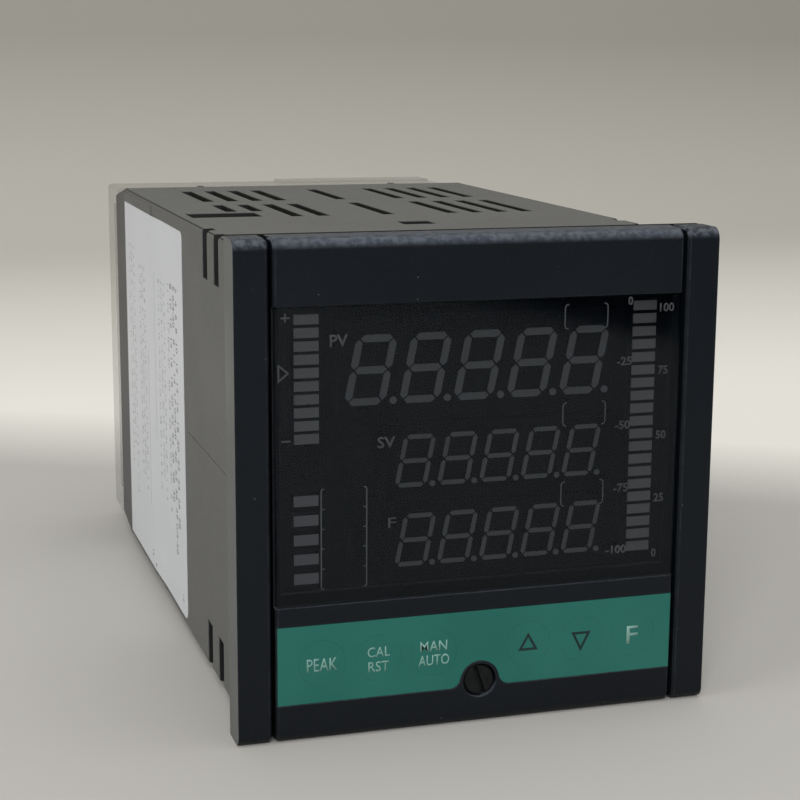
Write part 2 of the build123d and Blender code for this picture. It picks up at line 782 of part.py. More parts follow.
# Six keys: the disc flush with the film, a collar behind the plate and a stem to the switch
collar_front = bezel_plate + key_collar_gap
button_front = display_board_front - switch_height - switch_button_height
stem_end = button_front - switch_button_gap - key_travel
for key_name, x in zip(key_names, key_columns):
    with BuildPart() as key:
        prism(x, key_row, (film_front, collar_front), key_radius, key_sides)
        collar_depths = (collar_front, collar_front + key_collar_thickness)
        prism(x, key_row, collar_depths, key_collar_radius, small_head_sides)
        prism(x, key_row, (collar_front, stem_end), key_stem_radius, shank_sides)
    save(key, key_name)

# Small push switches on the display board, one behind each key
with BuildPart() as key_switches:
    for x in key_columns:
        across = (x - switch_size / 2, x + switch_size / 2)
        rise = (key_row - switch_size / 2, key_row + switch_size / 2)
        block(across, (display_board_front - switch_height, display_board_front), rise)
        button_depths = (button_front, display_board_front - switch_height)
        prism(x, key_row, button_depths, switch_button_radius, dot_sides)
save(key_switches, "key_switches")

# Captive front screw and the clip that keeps it in the bezel
with BuildPart() as front_screw:
    rod(0, screw_height, (screw_head_recess, screw_seat), screw_head_radius)
    rod(0, screw_height, (screw_seat, screw_seat + screw_shank_length), screw_shank_radius)
    head_rim = front_screw.edges().filter_by(GeomType.CIRCLE).group_by(Axis.Y)[0]
    chamfer(head_rim, screw_head_chamfer)
    with Locations(Location((0, y_at(screw_head_recess), screw_height), (0, screw_slot_angle, 0))):
        Box(screw_slot_width, 2 * screw_slot_depth, 3 * screw_head_radius, mode=Mode.SUBTRACT)
save(front_screw, "front_screw")

clip_front = screw_boss_back + screw_clip_gap
with BuildPart() as screw_clip:
    rod(0, screw_height, (clip_front, clip_front + screw_clip_thickness), screw_clip_radius)
    rod(0, screw_height, (clip_front, clip_front + screw_clip_thickness), screw_shank_radius, Mode.SUBTRACT)
save(screw_clip, "screw_clip")


def bar_outline(start, end, stroke):
    # Six-sided bar between two corners of a digit
    length = math.hypot(end[0] - start[0], end[1] - start[1])
    along = ((end[0] - start[0]) / length, (end[1] - start[1]) / length)
    half = stroke / 2
    tip = bar_end_gap
    shoulder = tip + half

    def point(distance, offset):
        return (
            start[0] + along[0] * distance - along[1] * offset,
            start[1] + along[1] * distance + along[0] * offset,
        )

    return [
        point(tip, 0),
        point(shoulder, half),
        point(length - shoulder, half),
        point(length - tip, 0),
        point(length - shoulder, -half),
        point(shoulder, -half),
    ]


def digit_outlines(digit):
    # All bars and dots of one row of leaning seven-bar digits
    lean = math.tan(math.radians(display_slant))
    edge = digit["stroke"] / 2
    sides = (edge, digit["width"] - edge)
    levels = (edge, digit["height"] / 2, digit["height"] - edge)
    bars = [((sides[0], level), (sides[1], level)) for level in levels]
    for side in sides:
        bars.append(((side, levels[0]), (side, levels[1])))
        bars.append(((side, levels[1]), (side, levels[2])))
    with BuildSketch(front_plane(display_front)) as outlines:
        for place in range(digits_per_row):
            left = digit["left"] + place * digit["pitch"]
            for start, end in bars:
                points = bar_outline(start, end, digit["stroke"])
                leaning = [(left + x + z * lean, digit["bottom"] + z) for x, z in points]
                Polygon(*leaning, align=None)
            with Locations((left + digit["width"] + dot_offset, digit["bottom"] + edge)):
                RegularPolygon(edge * dot_scale, dot_sides)
    return outlines.sketch


def stack_outlines(left, width, height, top, pitch, count):
    # A column of equal rectangles, counted down from the top
    with BuildSketch(front_plane(display_front)) as outlines:
        for place in range(count):
            with Locations((left + width / 2, top - height / 2 - place * pitch)):
                Rectangle(width, height)
    return outlines.sketch


# Three numeric displays: dark modules with the bars of the digits on their faces
module_depths = (display_front, display_board_front)
rows = {"pv": (pv_digit, pv_module), "sv": (sv_digit, sv_module), "set": (set_digit, set_module)}
for row_name, (digit, extent) in rows.items():
    outlines = digit_outlines(digit)
    with BuildPart() as numeric_display:
        block(extent[:2], module_depths, extent[2:])
    save(numeric_display, row_name + "_display")
    with BuildPart() as numeric_segments:
        extrude(outlines, amount=segment_thickness)
    save(numeric_segments, row_name + "_segments")

# Bar graph on the left, one module of ten bars
deviation_outlines = stack_outlines(
    deviation_left, deviation_width, bar_segment_height, deviation_top, deviation_pitch, deviation_count
)
deviation_across = (deviation_left - bar_module_margin, deviation_left + deviation_width + bar_module_margin)
deviation_reach = (deviation_count - 1) * deviation_pitch + bar_segment_height
deviation_rise = (deviation_top - deviation_reach - bar_module_margin, deviation_top + bar_module_margin)
with BuildPart() as deviation_bargraph:
    block(deviation_across, module_depths, deviation_rise)
save(deviation_bargraph, "deviation_bargraph")

with BuildPart() as deviation_segments:
    extrude(deviation_outlines, amount=segment_thickness)
save(deviation_segments, "deviation_segments")

# Bar graph on the right, two modules of ten bars each
level_outlines = stack_outlines(
    level_left, level_width, bar_segment_height, level_top, level_pitch, level_count
)
level_across = (level_left - bar_module_margin, level_left + level_width + bar_module_margin)
level_reach = (level_count - 1) * level_pitch + bar_segment_height
level_rise = (level_top - level_reach - bar_module_margin, level_top + bar_module_margin)
level_split = level_top - (level_count / 2 - 1) * level_pitch - (bar_segment_height + level_pitch) / 2
with BuildPart() as level_bargraph:
    block(level_across, module_depths, (level_rise[0], level_split - module_gap / 2))
    block(level_across, module_depths, (level_split + module_gap / 2, level_rise[1]))
save(level_bargraph, "level_bargraph")

with BuildPart() as level_segments:
    extrude(level_outlines, amount=segment_thickness)
save(level_segments, "level_segments")

# Five rectangular lamps
lamp_outlines = stack_outlines(lamp_left, lamp_width, lamp_height, lamp_top, lamp_pitch, lamp_count)
with BuildPart() as status_lamps:
    extrude(lamp_outlines, amount=-module_depth)
save(status_lamps, "status_lamps")

# Dark mask behind the window, with an opening for each display
mask_depths = (bezel_plate, bezel_plate + mask_thickness)


def grown(span):
    return (span[0] - mask_gap, span[1] + mask_gap)


with BuildPart() as display_mask:
    mask_half = aperture_half - mask_gap
    block((-mask_half, mask_half), mask_depths, (aperture_bottom - mask_lap, aperture_top + mask_lap))
    for digit, extent in rows.values():
        block(grown(extent[:2]), mask_depths, grown(extent[2:]), Mode.SUBTRACT)
    block(grown(deviation_across), mask_depths, grown(deviation_rise), Mode.SUBTRACT)
    block(grown(level_across), mask_depths, grown(level_rise), Mode.SUBTRACT)
    for place in range(lamp_count):
        top = lamp_top - place * lamp_pitch
        lamp_across = (lamp_left, lamp_left + lamp_width)
        block(grown(lamp_across), mask_depths, grown((top - lamp_height, top)), Mode.SUBTRACT)
save(display_mask, "display_mask")

# Display board, notched over the tab of the sleeve
tab_notch = (-tab_notch_half, tab_notch_half)
with BuildPart() as display_board:
    board_depths = (display_board_front, display_board_back)
    board_across = (-display_board_width / 2, display_board_width / 2)
    block(board_across, board_depths, (middle - display_board_height / 2, middle + display_board_height / 2))
    block(tab_notch, board_depths, (0, tab_notch_top), Mode.SUBTRACT)
    for x, z in boss_places:
        prism(x, z, board_depths, carrier_screw_radius + fastener_clearance, shank_sides, Mode.SUBTRACT)
save(display_board, "display_board")

# Board carrier: a frame behind the display board with ears that hold the three long boards
with BuildPart() as board_carrier:
    carrier_depths = (display_board_back, carrier_back)
    carrier_half = carrier_width / 2
    carrier_rise = (middle - carrier_height / 2, middle + carrier_height / 2)
    block((-carrier_half, carrier_half), carrier_depths, carrier_rise)
    window_across = (-carrier_half + carrier_side, carrier_half - carrier_side)
    block(window_across, carrier_depths, (carrier_bottom, carrier_top), Mode.SUBTRACT)
    block(tab_notch, carrier_depths, (0, tab_notch_top), Mode.SUBTRACT)
    for x, z in boss_places:
        prism(x, z, carrier_depths, carrier_screw_radius + fastener_clearance, shank_sides, Mode.SUBTRACT)
    ear_depths = (carrier_back, carrier_back + carrier_ear_depth)
    lower_top = carrier_bottom - carrier_ear_inset
    upper_bottom = carrier_top + carrier_ear_inset
    lower_rise = (lower_top - carrier_ear_height, lower_top)
    ear_rises = (lower_rise, (upper_bottom, upper_bottom + carrier_ear_height))
    for x in board_places:
        for side in (-1, 1):
            near = x + side * (board_thickness / 2 + ear_gap)
            far = max(-carrier_half, min(carrier_half, near + side * carrier_ear))
            for rise in ear_rises:
                block((min(near, far), max(near, far)), ear_depths, rise)
save(board_carrier, "board_carrier")

# Four screws hold carrier and display board to the bosses of the bezel
with BuildPart() as carrier_screws:
    for x, z in boss_places:
        head_depths = (carrier_back, carrier_back + carrier_screw_head)
        shank_depths = (display_board_front - carrier_screw_reach, carrier_back)
        prism(x, z, head_depths, carrier_screw_head_radius, small_head_sides)
        prism(x, z, shank_depths, carrier_screw_radius, shank_sides)
save(carrier_screws, "carrier_screws")

# Three long boards that stand on edge and slide out with the front
board_rise = (board_bottom, board_bottom + board_height)
board_names = ("processor_board", "output_board", "power_board")
for board_name, x in zip(board_names, board_places):
    with BuildPart() as long_board:
        block((x - board_thickness / 2, x + board_thickness / 2), (carrier_back, board_back), board_rise)
    save(long_board, board_name)

# Parts on the boards
left_face = board_places[0] + board_thickness / 2
middle_face = board_places[1] + board_thickness / 2
right_face = board_places[2] - board_thickness / 2

with BuildPart() as processor_chips:
    for chip in chips:
        depth = carrier_back + chip["share"] * (board_back - carrier_back)
        level = middle + chip["rise"] * scale_z
        reach = chip["length"] * scale_y / 2
        depths = (depth - reach, depth + reach)
        rise = (level - chip["height"] * scale_z / 2, level + chip["height"] * scale_z / 2)
        block((left_face, left_face + chip_thickness), depths, rise)
save(processor_chips, "processor_chips")

with BuildPart() as output_relays:
    for place in range(relay_count):
        level = middle + (place - (relay_count - 1) / 2) * relay_pitch
        rise = (level - relay_width / 2, level + relay_width / 2)
        block((middle_face, middle_face + relay_height), (relay_start, relay_start + relay_length), rise)
save(output_relays, "output_relays")

with BuildPart() as filter_capacitors:
    levels = (middle - capacitor_rise, middle + capacitor_rise)
    with BuildSketch(Plane.YZ.offset(right_face)):
        with Locations([(y_at(capacitor_depth), level) for level in levels]):
            RegularPolygon(capacitor_radius, disc_sides)
    extrude(amount=-capacitor_length)
save(filter_capacitors, "filter_capacitors")

# Transformer: laminated core with a winding round its middle limb
winding_half = transformer_stack / 2 + winding_gap + winding_thickness
transformer_x = right_face - winding_half
core_span = (transformer_start, transformer_start + transformer_length)
window_span = (core_span[0] + transformer_limb, core_span[1] - transformer_limb)
core_across = (transformer_x - transformer_stack / 2, transformer_x + transformer_stack / 2)
limb_half = transformer_middle_limb / 2
window_reach = transformer_height / 2 - transformer_limb
with BuildPart() as transformer_core:
    block(core_across, core_span, (middle - transformer_height / 2, middle + transformer_height / 2))
    block(core_across, window_span, (middle + limb_half, middle + window_reach), Mode.SUBTRACT)
    block(core_across, window_span, (middle - window_reach, middle - limb_half), Mode.SUBTRACT)
save(transformer_core, "transformer_core")

with BuildPart() as transformer_winding:
    winding_span = (window_span[0] + winding_gap, window_span[1] - winding_gap)
    winding_reach = window_reach - winding_gap
    winding_across = (transformer_x - winding_half, transformer_x + winding_half)
    block(winding_across, winding_span, (middle - winding_reach, middle + winding_reach))
    hole_half = transformer_stack / 2 + winding_gap
    hole_across = (transformer_x - hole_half, transformer_x + hole_half)
    hole_reach = limb_half + winding_gap
    block(hole_across, winding_span, (middle - hole_reach, middle + hole_reach), Mode.SUBTRACT)
save(transformer_winding, "transformer_winding")

# Headers join the front edge of each long board to the display board
with BuildPart() as board_headers:
    header_depths = (display_board_back, display_board_back + header_depth)
    header_rise = (middle - header_length / 2, middle + header_length / 2)
    block((left_face, left_face + header_width), header_depths, header_rise)
    block((middle_face, middle_face + header_width), header_depths, header_rise)
    block((right_face - header_width, right_face), header_depths, header_rise)
save(board_headers, "board_headers")
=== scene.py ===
import math
import bpy
import bmesh
from mathutils import Matrix, Vector


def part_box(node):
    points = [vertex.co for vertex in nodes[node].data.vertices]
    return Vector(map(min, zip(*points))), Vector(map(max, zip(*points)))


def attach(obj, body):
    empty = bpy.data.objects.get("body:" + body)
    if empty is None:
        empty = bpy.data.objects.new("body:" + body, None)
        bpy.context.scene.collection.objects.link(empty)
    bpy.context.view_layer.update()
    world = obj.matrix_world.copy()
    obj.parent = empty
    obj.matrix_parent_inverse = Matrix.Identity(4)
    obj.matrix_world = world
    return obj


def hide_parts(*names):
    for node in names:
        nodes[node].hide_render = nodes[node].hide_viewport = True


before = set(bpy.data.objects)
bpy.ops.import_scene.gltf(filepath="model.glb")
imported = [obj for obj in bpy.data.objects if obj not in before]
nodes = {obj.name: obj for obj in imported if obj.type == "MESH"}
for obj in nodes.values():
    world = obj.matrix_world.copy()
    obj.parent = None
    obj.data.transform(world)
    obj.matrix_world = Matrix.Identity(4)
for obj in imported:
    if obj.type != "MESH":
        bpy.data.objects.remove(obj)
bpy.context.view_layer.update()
mm = 0.001
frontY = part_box("case_sleeve")[0][1]  # the foremost face, from which depths are counted
noiseMiddle = (0.3, 0.7)  # nearly all values of a noise lie between these
roughSpan = 0.05  # how far roughness strays either way
print("frame loaded,", len(nodes), "pieces")


def depthY(depth):
    return frontY + depth * mm


def addObject(name, data):
    item = bpy.data.objects.new(name, data)
    bpy.context.scene.collection.objects.link(item)
    return item


def evaluatedMesh(item):
    bpy.context.view_layer.update()
    return bpy.data.meshes.new_from_object(item.evaluated_get(bpy.context.evaluated_depsgraph_get()))


def addNode(tree, kind, inputs=None, **settings):
    node = tree.nodes.new(kind)
    for key, value in settings.items():
        setattr(node, key, value)
    for key, value in (inputs or {}).items():
        if isinstance(value, bpy.types.NodeSocket):
            tree.links.new(value, node.inputs[key])
        else:
            node.inputs[key].default_value = value
    return node


def startMaterial(name):
    material = bpy.data.materials.new(name)
    material.use_nodes = True
    tree = material.node_tree
    shader = tree.nodes["Principled BSDF"]
    place = addNode(tree, "ShaderNodeTexCoord").outputs["Object"]
    return material, tree, shader, place


def finishMaterial(tree, shader, colour, rough, bump, plain):
    # bump holds the inputs of a bump node, plain the values that are the same all over
    tree.links.new(colour, shader.inputs["Base Color"])
    tree.links.new(rough, shader.inputs["Roughness"])
    for socket, value in plain.items():
        shader.inputs[socket].default_value = value
    tree.links.new(addNode(tree, "ShaderNodeBump", bump).outputs["Normal"], shader.inputs["Normal"])


def mixColours(tree, factor, first, second, blend="MIX"):
    inputs = {0: factor, 6: first, 7: second}
    return addNode(tree, "ShaderNodeMix", inputs, data_type="RGBA", blend_type=blend).outputs[2]


def mapped(tree, value, low, high, newLow, newHigh):
    inputs = {"Value": value, "From Min": low, "From Max": high, "To Min": newLow, "To Max": newHigh}
    return addNode(tree, "ShaderNodeMapRange", inputs).outputs["Result"]


def multiplied(tree, first, second):
    return addNode(tree, "ShaderNodeMath", {0: first, 1: second}, operation="MULTIPLY").outputs["Value"]


def axesOf(tree, vector):
    return addNode(tree, "ShaderNodeSeparateXYZ", {"Vector": vector}).outputs


def noise(tree, place, scale, detail, distortion=0.0):
    inputs = {"Vector": place, "Scale": scale, "Detail": detail, "Distortion": distortion}
    return addNode(tree, "ShaderNodeTexNoise", inputs).outputs["Fac"]


def rgba(colour, scale=1.0):
    return (colour[0] * scale, colour[1] * scale, colour[2] * scale, 1.0)


def toned(tree, colour, tone):  # a colour made darker or lighter by a tone near 1
    grey = addNode(tree, "ShaderNodeCombineColor", {"Red": tone, "Green": tone, "Blue": tone}).outputs["Color"]
    return mixColours(tree, 1.0, colour, grey, "MULTIPLY")


def edgeMask(tree, radius, span):  # near 1 where a rounded normal leaves the face normal
    bevel = addNode(tree, "ShaderNodeBevel", {"Radius": radius}, samples=4)
    normal = addNode(tree, "ShaderNodeNewGeometry").outputs["Normal"]
    inputs = {0: bevel.outputs["Normal"], 1: normal}
    likeness = addNode(tree, "ShaderNodeVectorMath", inputs, operation="DOT_PRODUCT").outputs["Value"]
    return bevel.outputs["Normal"], mapped(tree, likeness, *span, 0.0, 1.0)


def insideBox(tree, place, box):  # 1 inside the given box, in millimetres of width, height and depth
    axes, edge = axesOf(tree, place), box["edge"]
    width = addNode(tree, "ShaderNodeMath", {0: axes["X"]}, operation="ABSOLUTE").outputs["Value"]
    inside = mapped(tree, width, box["half"] * mm, (box["half"] - edge) * mm, 0.0, 1.0)
    ends = (
        (axes["Z"], box["low"] * mm, (box["low"] + edge) * mm),
        (axes["Z"], box["high"] * mm, (box["high"] - edge) * mm),
        (axes["Y"], depthY(box["front"]), depthY(box["front"] + edge)),
        (axes["Y"], depthY(box["back"]), depthY(box["back"] - edge)),
    )
    for value, outer, inner in ends:
        inside = multiplied(tree, inside, mapped(tree, value, outer, inner, 0.0, 1.0))
    return inside


def facing(tree, axis, low, high):  # 0 to 1 as a surface turns towards an axis
    normal = addNode(tree, "ShaderNodeNewGeometry").outputs["Normal"]
    return mapped(tree, axesOf(tree, normal)[axis], low, high, 0.0, 1.0)


def mouldedPlastic(name, look):
    material, tree, shader, place = startMaterial(name)
    clouds = noise(tree, place, look["cloudScale"], 5.0)
    fine = noise(tree, place, look["grainScale"], 3.0)
    low = rgba(look["colour"], 1.0 - look["variation"])
    high = rgba(look["colour"], 1.0 + look["variation"])
    colour = mixColours(tree, mapped(tree, clouds, *noiseMiddle, 0.0, 1.0), low, high)
    grain = look["grainTone"]
    colour = toned(tree, colour, mapped(tree, fine, *look["grainRange"], 1.0 - grain, 1.0 + grain))
    # lighter edges: rubbed wear on every plastic, and on the bezel a painted highlight along the edges where light
    # catches them
    roundNormal, edge = edgeMask(tree, look["edgeRadius"], look["edgeRange"])
    patches = noise(tree, place, look["patchScale"], 6.0)
    wearAndSheen = mapped(tree, patches, *look["patchRange"], look["edgeWearAndSheen"] * look["wearAndSheenFloor"], look["edgeWearAndSheen"])
    colour = mixColours(tree, multiplied(tree, edge, wearAndSheen), colour, rgba(look["wearAndSheenColour"]))
    specks = addNode(tree, "ShaderNodeTexVoronoi", {"Vector": place, "Scale": look["speckScale"]}).outputs
    isSpeck = mapped(tree, specks["Distance"], look["speckSize"], look["speckSize"] * 0.6, 0.0, 1.0)
    chance = addNode(tree, "ShaderNodeSeparateColor", {"Color": specks["Color"]}).outputs["Red"]
    chosen = mapped(tree, chance, look["speckShare"], look["speckShare"] * 0.9, 0.0, look["speckStrength"])
    colour = mixColours(tree, multiplied(tree, isSpeck, chosen), colour, rgba(look["dustColour"]))
    if "upSheenColour" in look:  # painted sheen on what faces upwards: lighter and bluish, mottled lighter still
        sheenSparkle = mapped(tree, noise(tree, place, look["sheenSparkleScale"], 6.0), *look["patchRange"], 0.0, 1.0)
        upSheenColour = mixColours(tree, sheenSparkle, rgba(look["upSheenColour"]), rgba(look["sheenSparkleColour"]))
        colour = mixColours(tree, facing(tree, "Z", look["upFrom"], look["upTo"]), colour, upSheenColour)
    if "sideSheenColour" in look:  # painted lighter sheen on the outer sides only, from a given distance off the middle
        for way in (-1, 1):
            reach = (way * look["sideFrom"] * mm, way * look["sideTo"] * mm)
            outer = mapped(tree, axesOf(tree, place)["X"], *reach, 0.0, 1.0)
            turned = facing(tree, "X", way * look["turnFrom"], way * look["turnTo"])
            colour = mixColours(tree, multiplied(tree, outer, turned), colour, rgba(look["sideSheenColour"]))
    # painted shade: the inside of the sleeve made nearly black, where little light reaches
    if "innerShadeBox" in look:
        colour = mixColours(tree, insideBox(tree, place, look["innerShadeBox"]), colour, rgba(look["innerShadeColour"]))
    rough = mapped(tree, clouds, *noiseMiddle, look["roughness"] - roughSpan, look["roughness"] + roughSpan)
    bump = {"Height": fine, "Strength": look["bump"], "Distance": look["bumpDepth"], "Normal": roundNormal}
    finishMaterial(tree, shader, colour, rough, bump, {"Specular IOR Level": look["specular"]})
    return material


plasticBase = dict(
    cloudScale=38.0, variation=0.06, grainScale=1900.0, grainTone=0.10, grainRange=(0.35, 0.65),
    edgeRadius=0.00035, edgeRange=(0.995, 0.93), edgeWearAndSheen=0.35, wearAndSheenFloor=0.25, patchScale=420.0,
    patchRange=(0.40, 0.62), wearAndSheenColour=(0.16, 0.16, 0.16), speckScale=900.0, speckSize=0.12, speckShare=0.03,
    speckStrength=0.40, dustColour=(0.32, 0.31, 0.29), roughness=0.5, specular=0.5, bump=0.35, bumpDepth=0.00012,
)
caseLook = dict(
    plasticBase, colour=(0.102, 0.1035, 0.100), roughness=0.55, wearAndSheenColour=(0.24, 0.24, 0.23),
    # the inside of the sleeve gets a painted shade, nearly black
    innerShadeColour=(0.004, 0.004, 0.004), innerShadeBox=dict(half=45.3, low=2.15, high=93.85, front=9.7, back=146.9, edge=0.05),
)
housingLook = dict(plasticBase, colour=(0.071, 0.071, 0.072), roughness=0.55, wearAndSheenColour=(0.20, 0.20, 0.20))
# The bezel's faces that look upwards get a painted sheen, lighter and bluish
bezelLook = dict(
    plasticBase, colour=(0.0052, 0.0072, 0.0102), roughness=0.42, wearAndSheenColour=(0.07, 0.08, 0.09), specular=0.16,
    # a larger edge share on the bezel: painted highlight along its edges over the wear
    edgeWearAndSheen=0.5, upSheenColour=(0.038, 0.046, 0.060), sheenSparkleColour=(0.075, 0.086, 0.105), sheenSparkleScale=900.0, upFrom=0.12,
    upTo=0.55,
)
# The flange's outer sides get a lighter painted sheen, and its tops a fainter painted sheen than the bezel's
flangeLook = dict(
    bezelLook, sideSheenColour=(0.115, 0.120, 0.118), sideFrom=47.5, sideTo=47.7, turnFrom=0.5, turnTo=0.9,
    upSheenColour=(0.018, 0.022, 0.028),
)
blackLook = dict(plasticBase, colour=(0.018, 0.018, 0.019), roughness=0.5, wearAndSheenColour=(0.06, 0.06, 0.06))

paints = {
    "casePlastic": mouldedPlastic("casePlastic", caseLook),
    "housingPlastic": mouldedPlastic("housingPlastic", housingLook),
    "bezelPlastic": mouldedPlastic("bezelPlastic", bezelLook),
    "flangePlastic": mouldedPlastic("flangePlastic", flangeLook),
    "blackPlastic": mouldedPlastic("blackPlastic", blackLook),
}


gasketLook = dict(
    colour=(0.004, 0.004, 0.004), tones=(0.6, 1.3), roughness=0.8, poreRoughness=0.85, poreScale=900.0,
    poreRange=(0.0, 0.6), specular=0.1, bump=0.4, bumpDepth=0.0002,
)


def makeGasketRubber():
    look = gasketLook
    material, tree, shader, place = startMaterial("gasketRubber")
    pores = addNode(tree, "ShaderNodeTexVoronoi", {"Vector": place, "Scale": look["poreScale"]}).outputs["Distance"]
    colour = toned(tree, rgba(look["colour"]), mapped(tree, pores, *look["poreRange"], *look["tones"]))
    rough = mapped(tree, pores, *look["poreRange"], look["poreRoughness"], look["roughness"])
    bump = {"Height": pores, "Strength": look["bump"], "Distance": look["bumpDepth"]}
    finishMaterial(tree, shader, colour, rough, bump, {"Specular IOR Level": look["specular"]})
    return material


filmLook = dict(
    colour=(0.0175, 0.128, 0.103), fadedColour=(0.0235, 0.146, 0.119), roughness=0.40, specular=0.18,
    roughLess=0.06, roughMore=0.08, grainScale=1500.0, grimeScale=60.0, grimeRange=(0.35, 0.7), bump=0.15,
    bumpDepth=0.00006,
)


def makeFilm():
    look = filmLook
    material, tree, shader, place = startMaterial("greenFilm")
    clouds = noise(tree, place, look["grimeScale"], 6.0)
    tone = mapped(tree, clouds, *look["grimeRange"], 0.0, 1.0)
    colour = mixColours(tree, tone, rgba(look["colour"]), rgba(look["fadedColour"]))
    lowest, highest = look["roughness"] - look["roughLess"], look["roughness"] + look["roughMore"]
    rough = mapped(tree, clouds, *noiseMiddle, lowest, highest)
    grain = noise(tree, place, look["grainScale"], 2.0)
    bump = {"Height": grain, "Strength": look["bump"], "Distance": look["bumpDepth"]}
    finishMaterial(tree, shader, colour, rough, bump, {"Specular IOR Level": look["specular"]})
    return material


windowLook = dict(
    colour=(0.0004, 0.0014, 0.0028), tones=(0.8, 1.25), alpha=0.45, roughness=0.04, roughMore=0.07, ior=1.40,
    smearScale=45.0, smearDetail=7.0, smearTwist=0.6, smearRange=(0.35, 0.7), bump=0.02, bumpDepth=0.0005,
)
coverLook = dict(
    colour=(0.20, 0.195, 0.175), tones=(0.85, 1.1), alpha=0.26, roughness=0.08, roughMore=0.08, ior=1.5,
    smearScale=30.0, smearDetail=6.0, smearTwist=0.0, smearRange=(0.3, 0.7), bump=0.05, bumpDepth=0.0006,
)


def clearSheet(name, look):  # smoked or clear plastic with smears
    material, tree, shader, place = startMaterial(name)
    smears = noise(tree, place, look["smearScale"], look["smearDetail"], look["smearTwist"])
    colour = toned(tree, rgba(look["colour"]), mapped(tree, smears, *look["smearRange"], *look["tones"]))
    low = look["roughness"]
    rough = mapped(tree, smears, *look["smearRange"], low, low + look["roughMore"])
    bump = {"Height": smears, "Strength": look["bump"], "Distance": look["bumpDepth"]}
    finishMaterial(tree, shader, colour, rough, bump, {"Alpha": look["alpha"], "IOR": look["ior"]})
    return material


paints["gasketRubber"] = makeGasketRubber()
paints["greenFilm"] = makeFilm()
paints["tintedWindow"] = clearSheet("tintedWindow", windowLook)
paints["clearCover"] = clearSheet("clearCover", coverLook)


sheetBase = dict(
    cloudScale=40.0, fineScale=900.0, roughness=0.5, bump=0.2, bumpDepth=0.00008, metallic=0.0, specular=0.5,
)
lightBase = dict(roughness=0.45, specular=0.3)
sheetLooks = dict(
    labelSheet=dict(colour=(0.625, 0.645, 0.675), secondColour=(0.665, 0.685, 0.715), roughness=0.42, bump=0.12),
    faintInk=dict(colour=(0.24, 0.25, 0.27), secondColour=(0.50, 0.51, 0.53), cloudScale=400.0),
    labelInk=dict(colour=(0.05, 0.05, 0.06), secondColour=(0.26, 0.26, 0.28), cloudScale=400.0),
    legendInk=dict(colour=(0.19, 0.35, 0.31), secondColour=(0.23, 0.40, 0.35), specular=0.2),
    greyInk=dict(colour=(0.050, 0.053, 0.056), secondColour=(0.058, 0.061, 0.064), specular=0.15),
    paleInk=dict(colour=(0.058, 0.062, 0.065), secondColour=(0.068, 0.072, 0.075), specular=0.15),
    darkInk=dict(colour=(0.008, 0.022, 0.022), secondColour=(0.012, 0.028, 0.028), specular=0.2),
    numberInk=dict(colour=(0.42, 0.42, 0.40), secondColour=(0.50, 0.50, 0.48), cloudScale=300.0),
    displayFace=dict(
        colour=(0.0012, 0.0018, 0.0022), secondColour=(0.0015, 0.0021, 0.0026), roughness=0.6, specular=0.1, bump=0.01,
    ),
    segmentDiffuser=dict(lightBase, colour=(0.30, 0.32, 0.34), secondColour=(0.33, 0.35, 0.37)),
    barDiffuser=dict(lightBase, colour=(0.42, 0.44, 0.46), secondColour=(0.46, 0.48, 0.50)),
    lampDiffuser=dict(lightBase, colour=(0.44, 0.45, 0.50), secondColour=(0.50, 0.51, 0.56)),
    boardLaminate=dict(
        colour=(0.012, 0.085, 0.035), secondColour=(0.018, 0.11, 0.05), cloudScale=300.0, roughness=0.35,
    ),
    relayCase=dict(colour=(0.02, 0.05, 0.16), secondColour=(0.025, 0.06, 0.19), roughness=0.3),
    capacitorSleeve=dict(colour=(0.012, 0.012, 0.016), secondColour=(0.02, 0.02, 0.026), roughness=0.3),
    windingTape=dict(colour=(0.52, 0.38, 0.06), secondColour=(0.60, 0.45, 0.09), roughness=0.35, cloudScale=90.0),
    platedSteel=dict(colour=(0.55, 0.55, 0.53), secondColour=(0.68, 0.67, 0.64), roughness=0.32, metallic=1.0),
    coreSteel=dict(colour=(0.20, 0.19, 0.18), secondColour=(0.27, 0.26, 0.25), metallic=0.8),
    brassMetal=dict(colour=(0.58, 0.42, 0.17), secondColour=(0.66, 0.50, 0.22), roughness=0.3, metallic=1.0),
    darkSteel=dict(
        colour=(0.0012, 0.0016, 0.0020), secondColour=(0.006, 0.007, 0.008), cloudScale=700.0, bump=0.4, specular=0.2,
    ),
)


def makeSheet(name, look):  # printed sheets, boards and small mouldings share this build
    material, tree, shader, place = startMaterial(name)
    fine = noise(tree, place, look["fineScale"], 3.0)
    tone = mapped(tree, noise(tree, place, look["cloudScale"], 5.0), *noiseMiddle, 0.0, 1.0)
    colour = mixColours(tree, tone, rgba(look["colour"]), rgba(look["secondColour"]))
    rough = mapped(tree, fine, *noiseMiddle, look["roughness"] - roughSpan, look["roughness"] + roughSpan)
    bump = {"Height": fine, "Strength": look["bump"], "Distance": look["bumpDepth"]}
    plain = {"Metallic": look["metallic"], "Specular IOR Level": look["specular"]}
    finishMaterial(tree, shader, colour, rough, bump, plain)
    return material


for sheetName, sheetLook in sheetLooks.items():
    paints[sheetName] = makeSheet(sheetName, dict(sheetBase, **sheetLook))

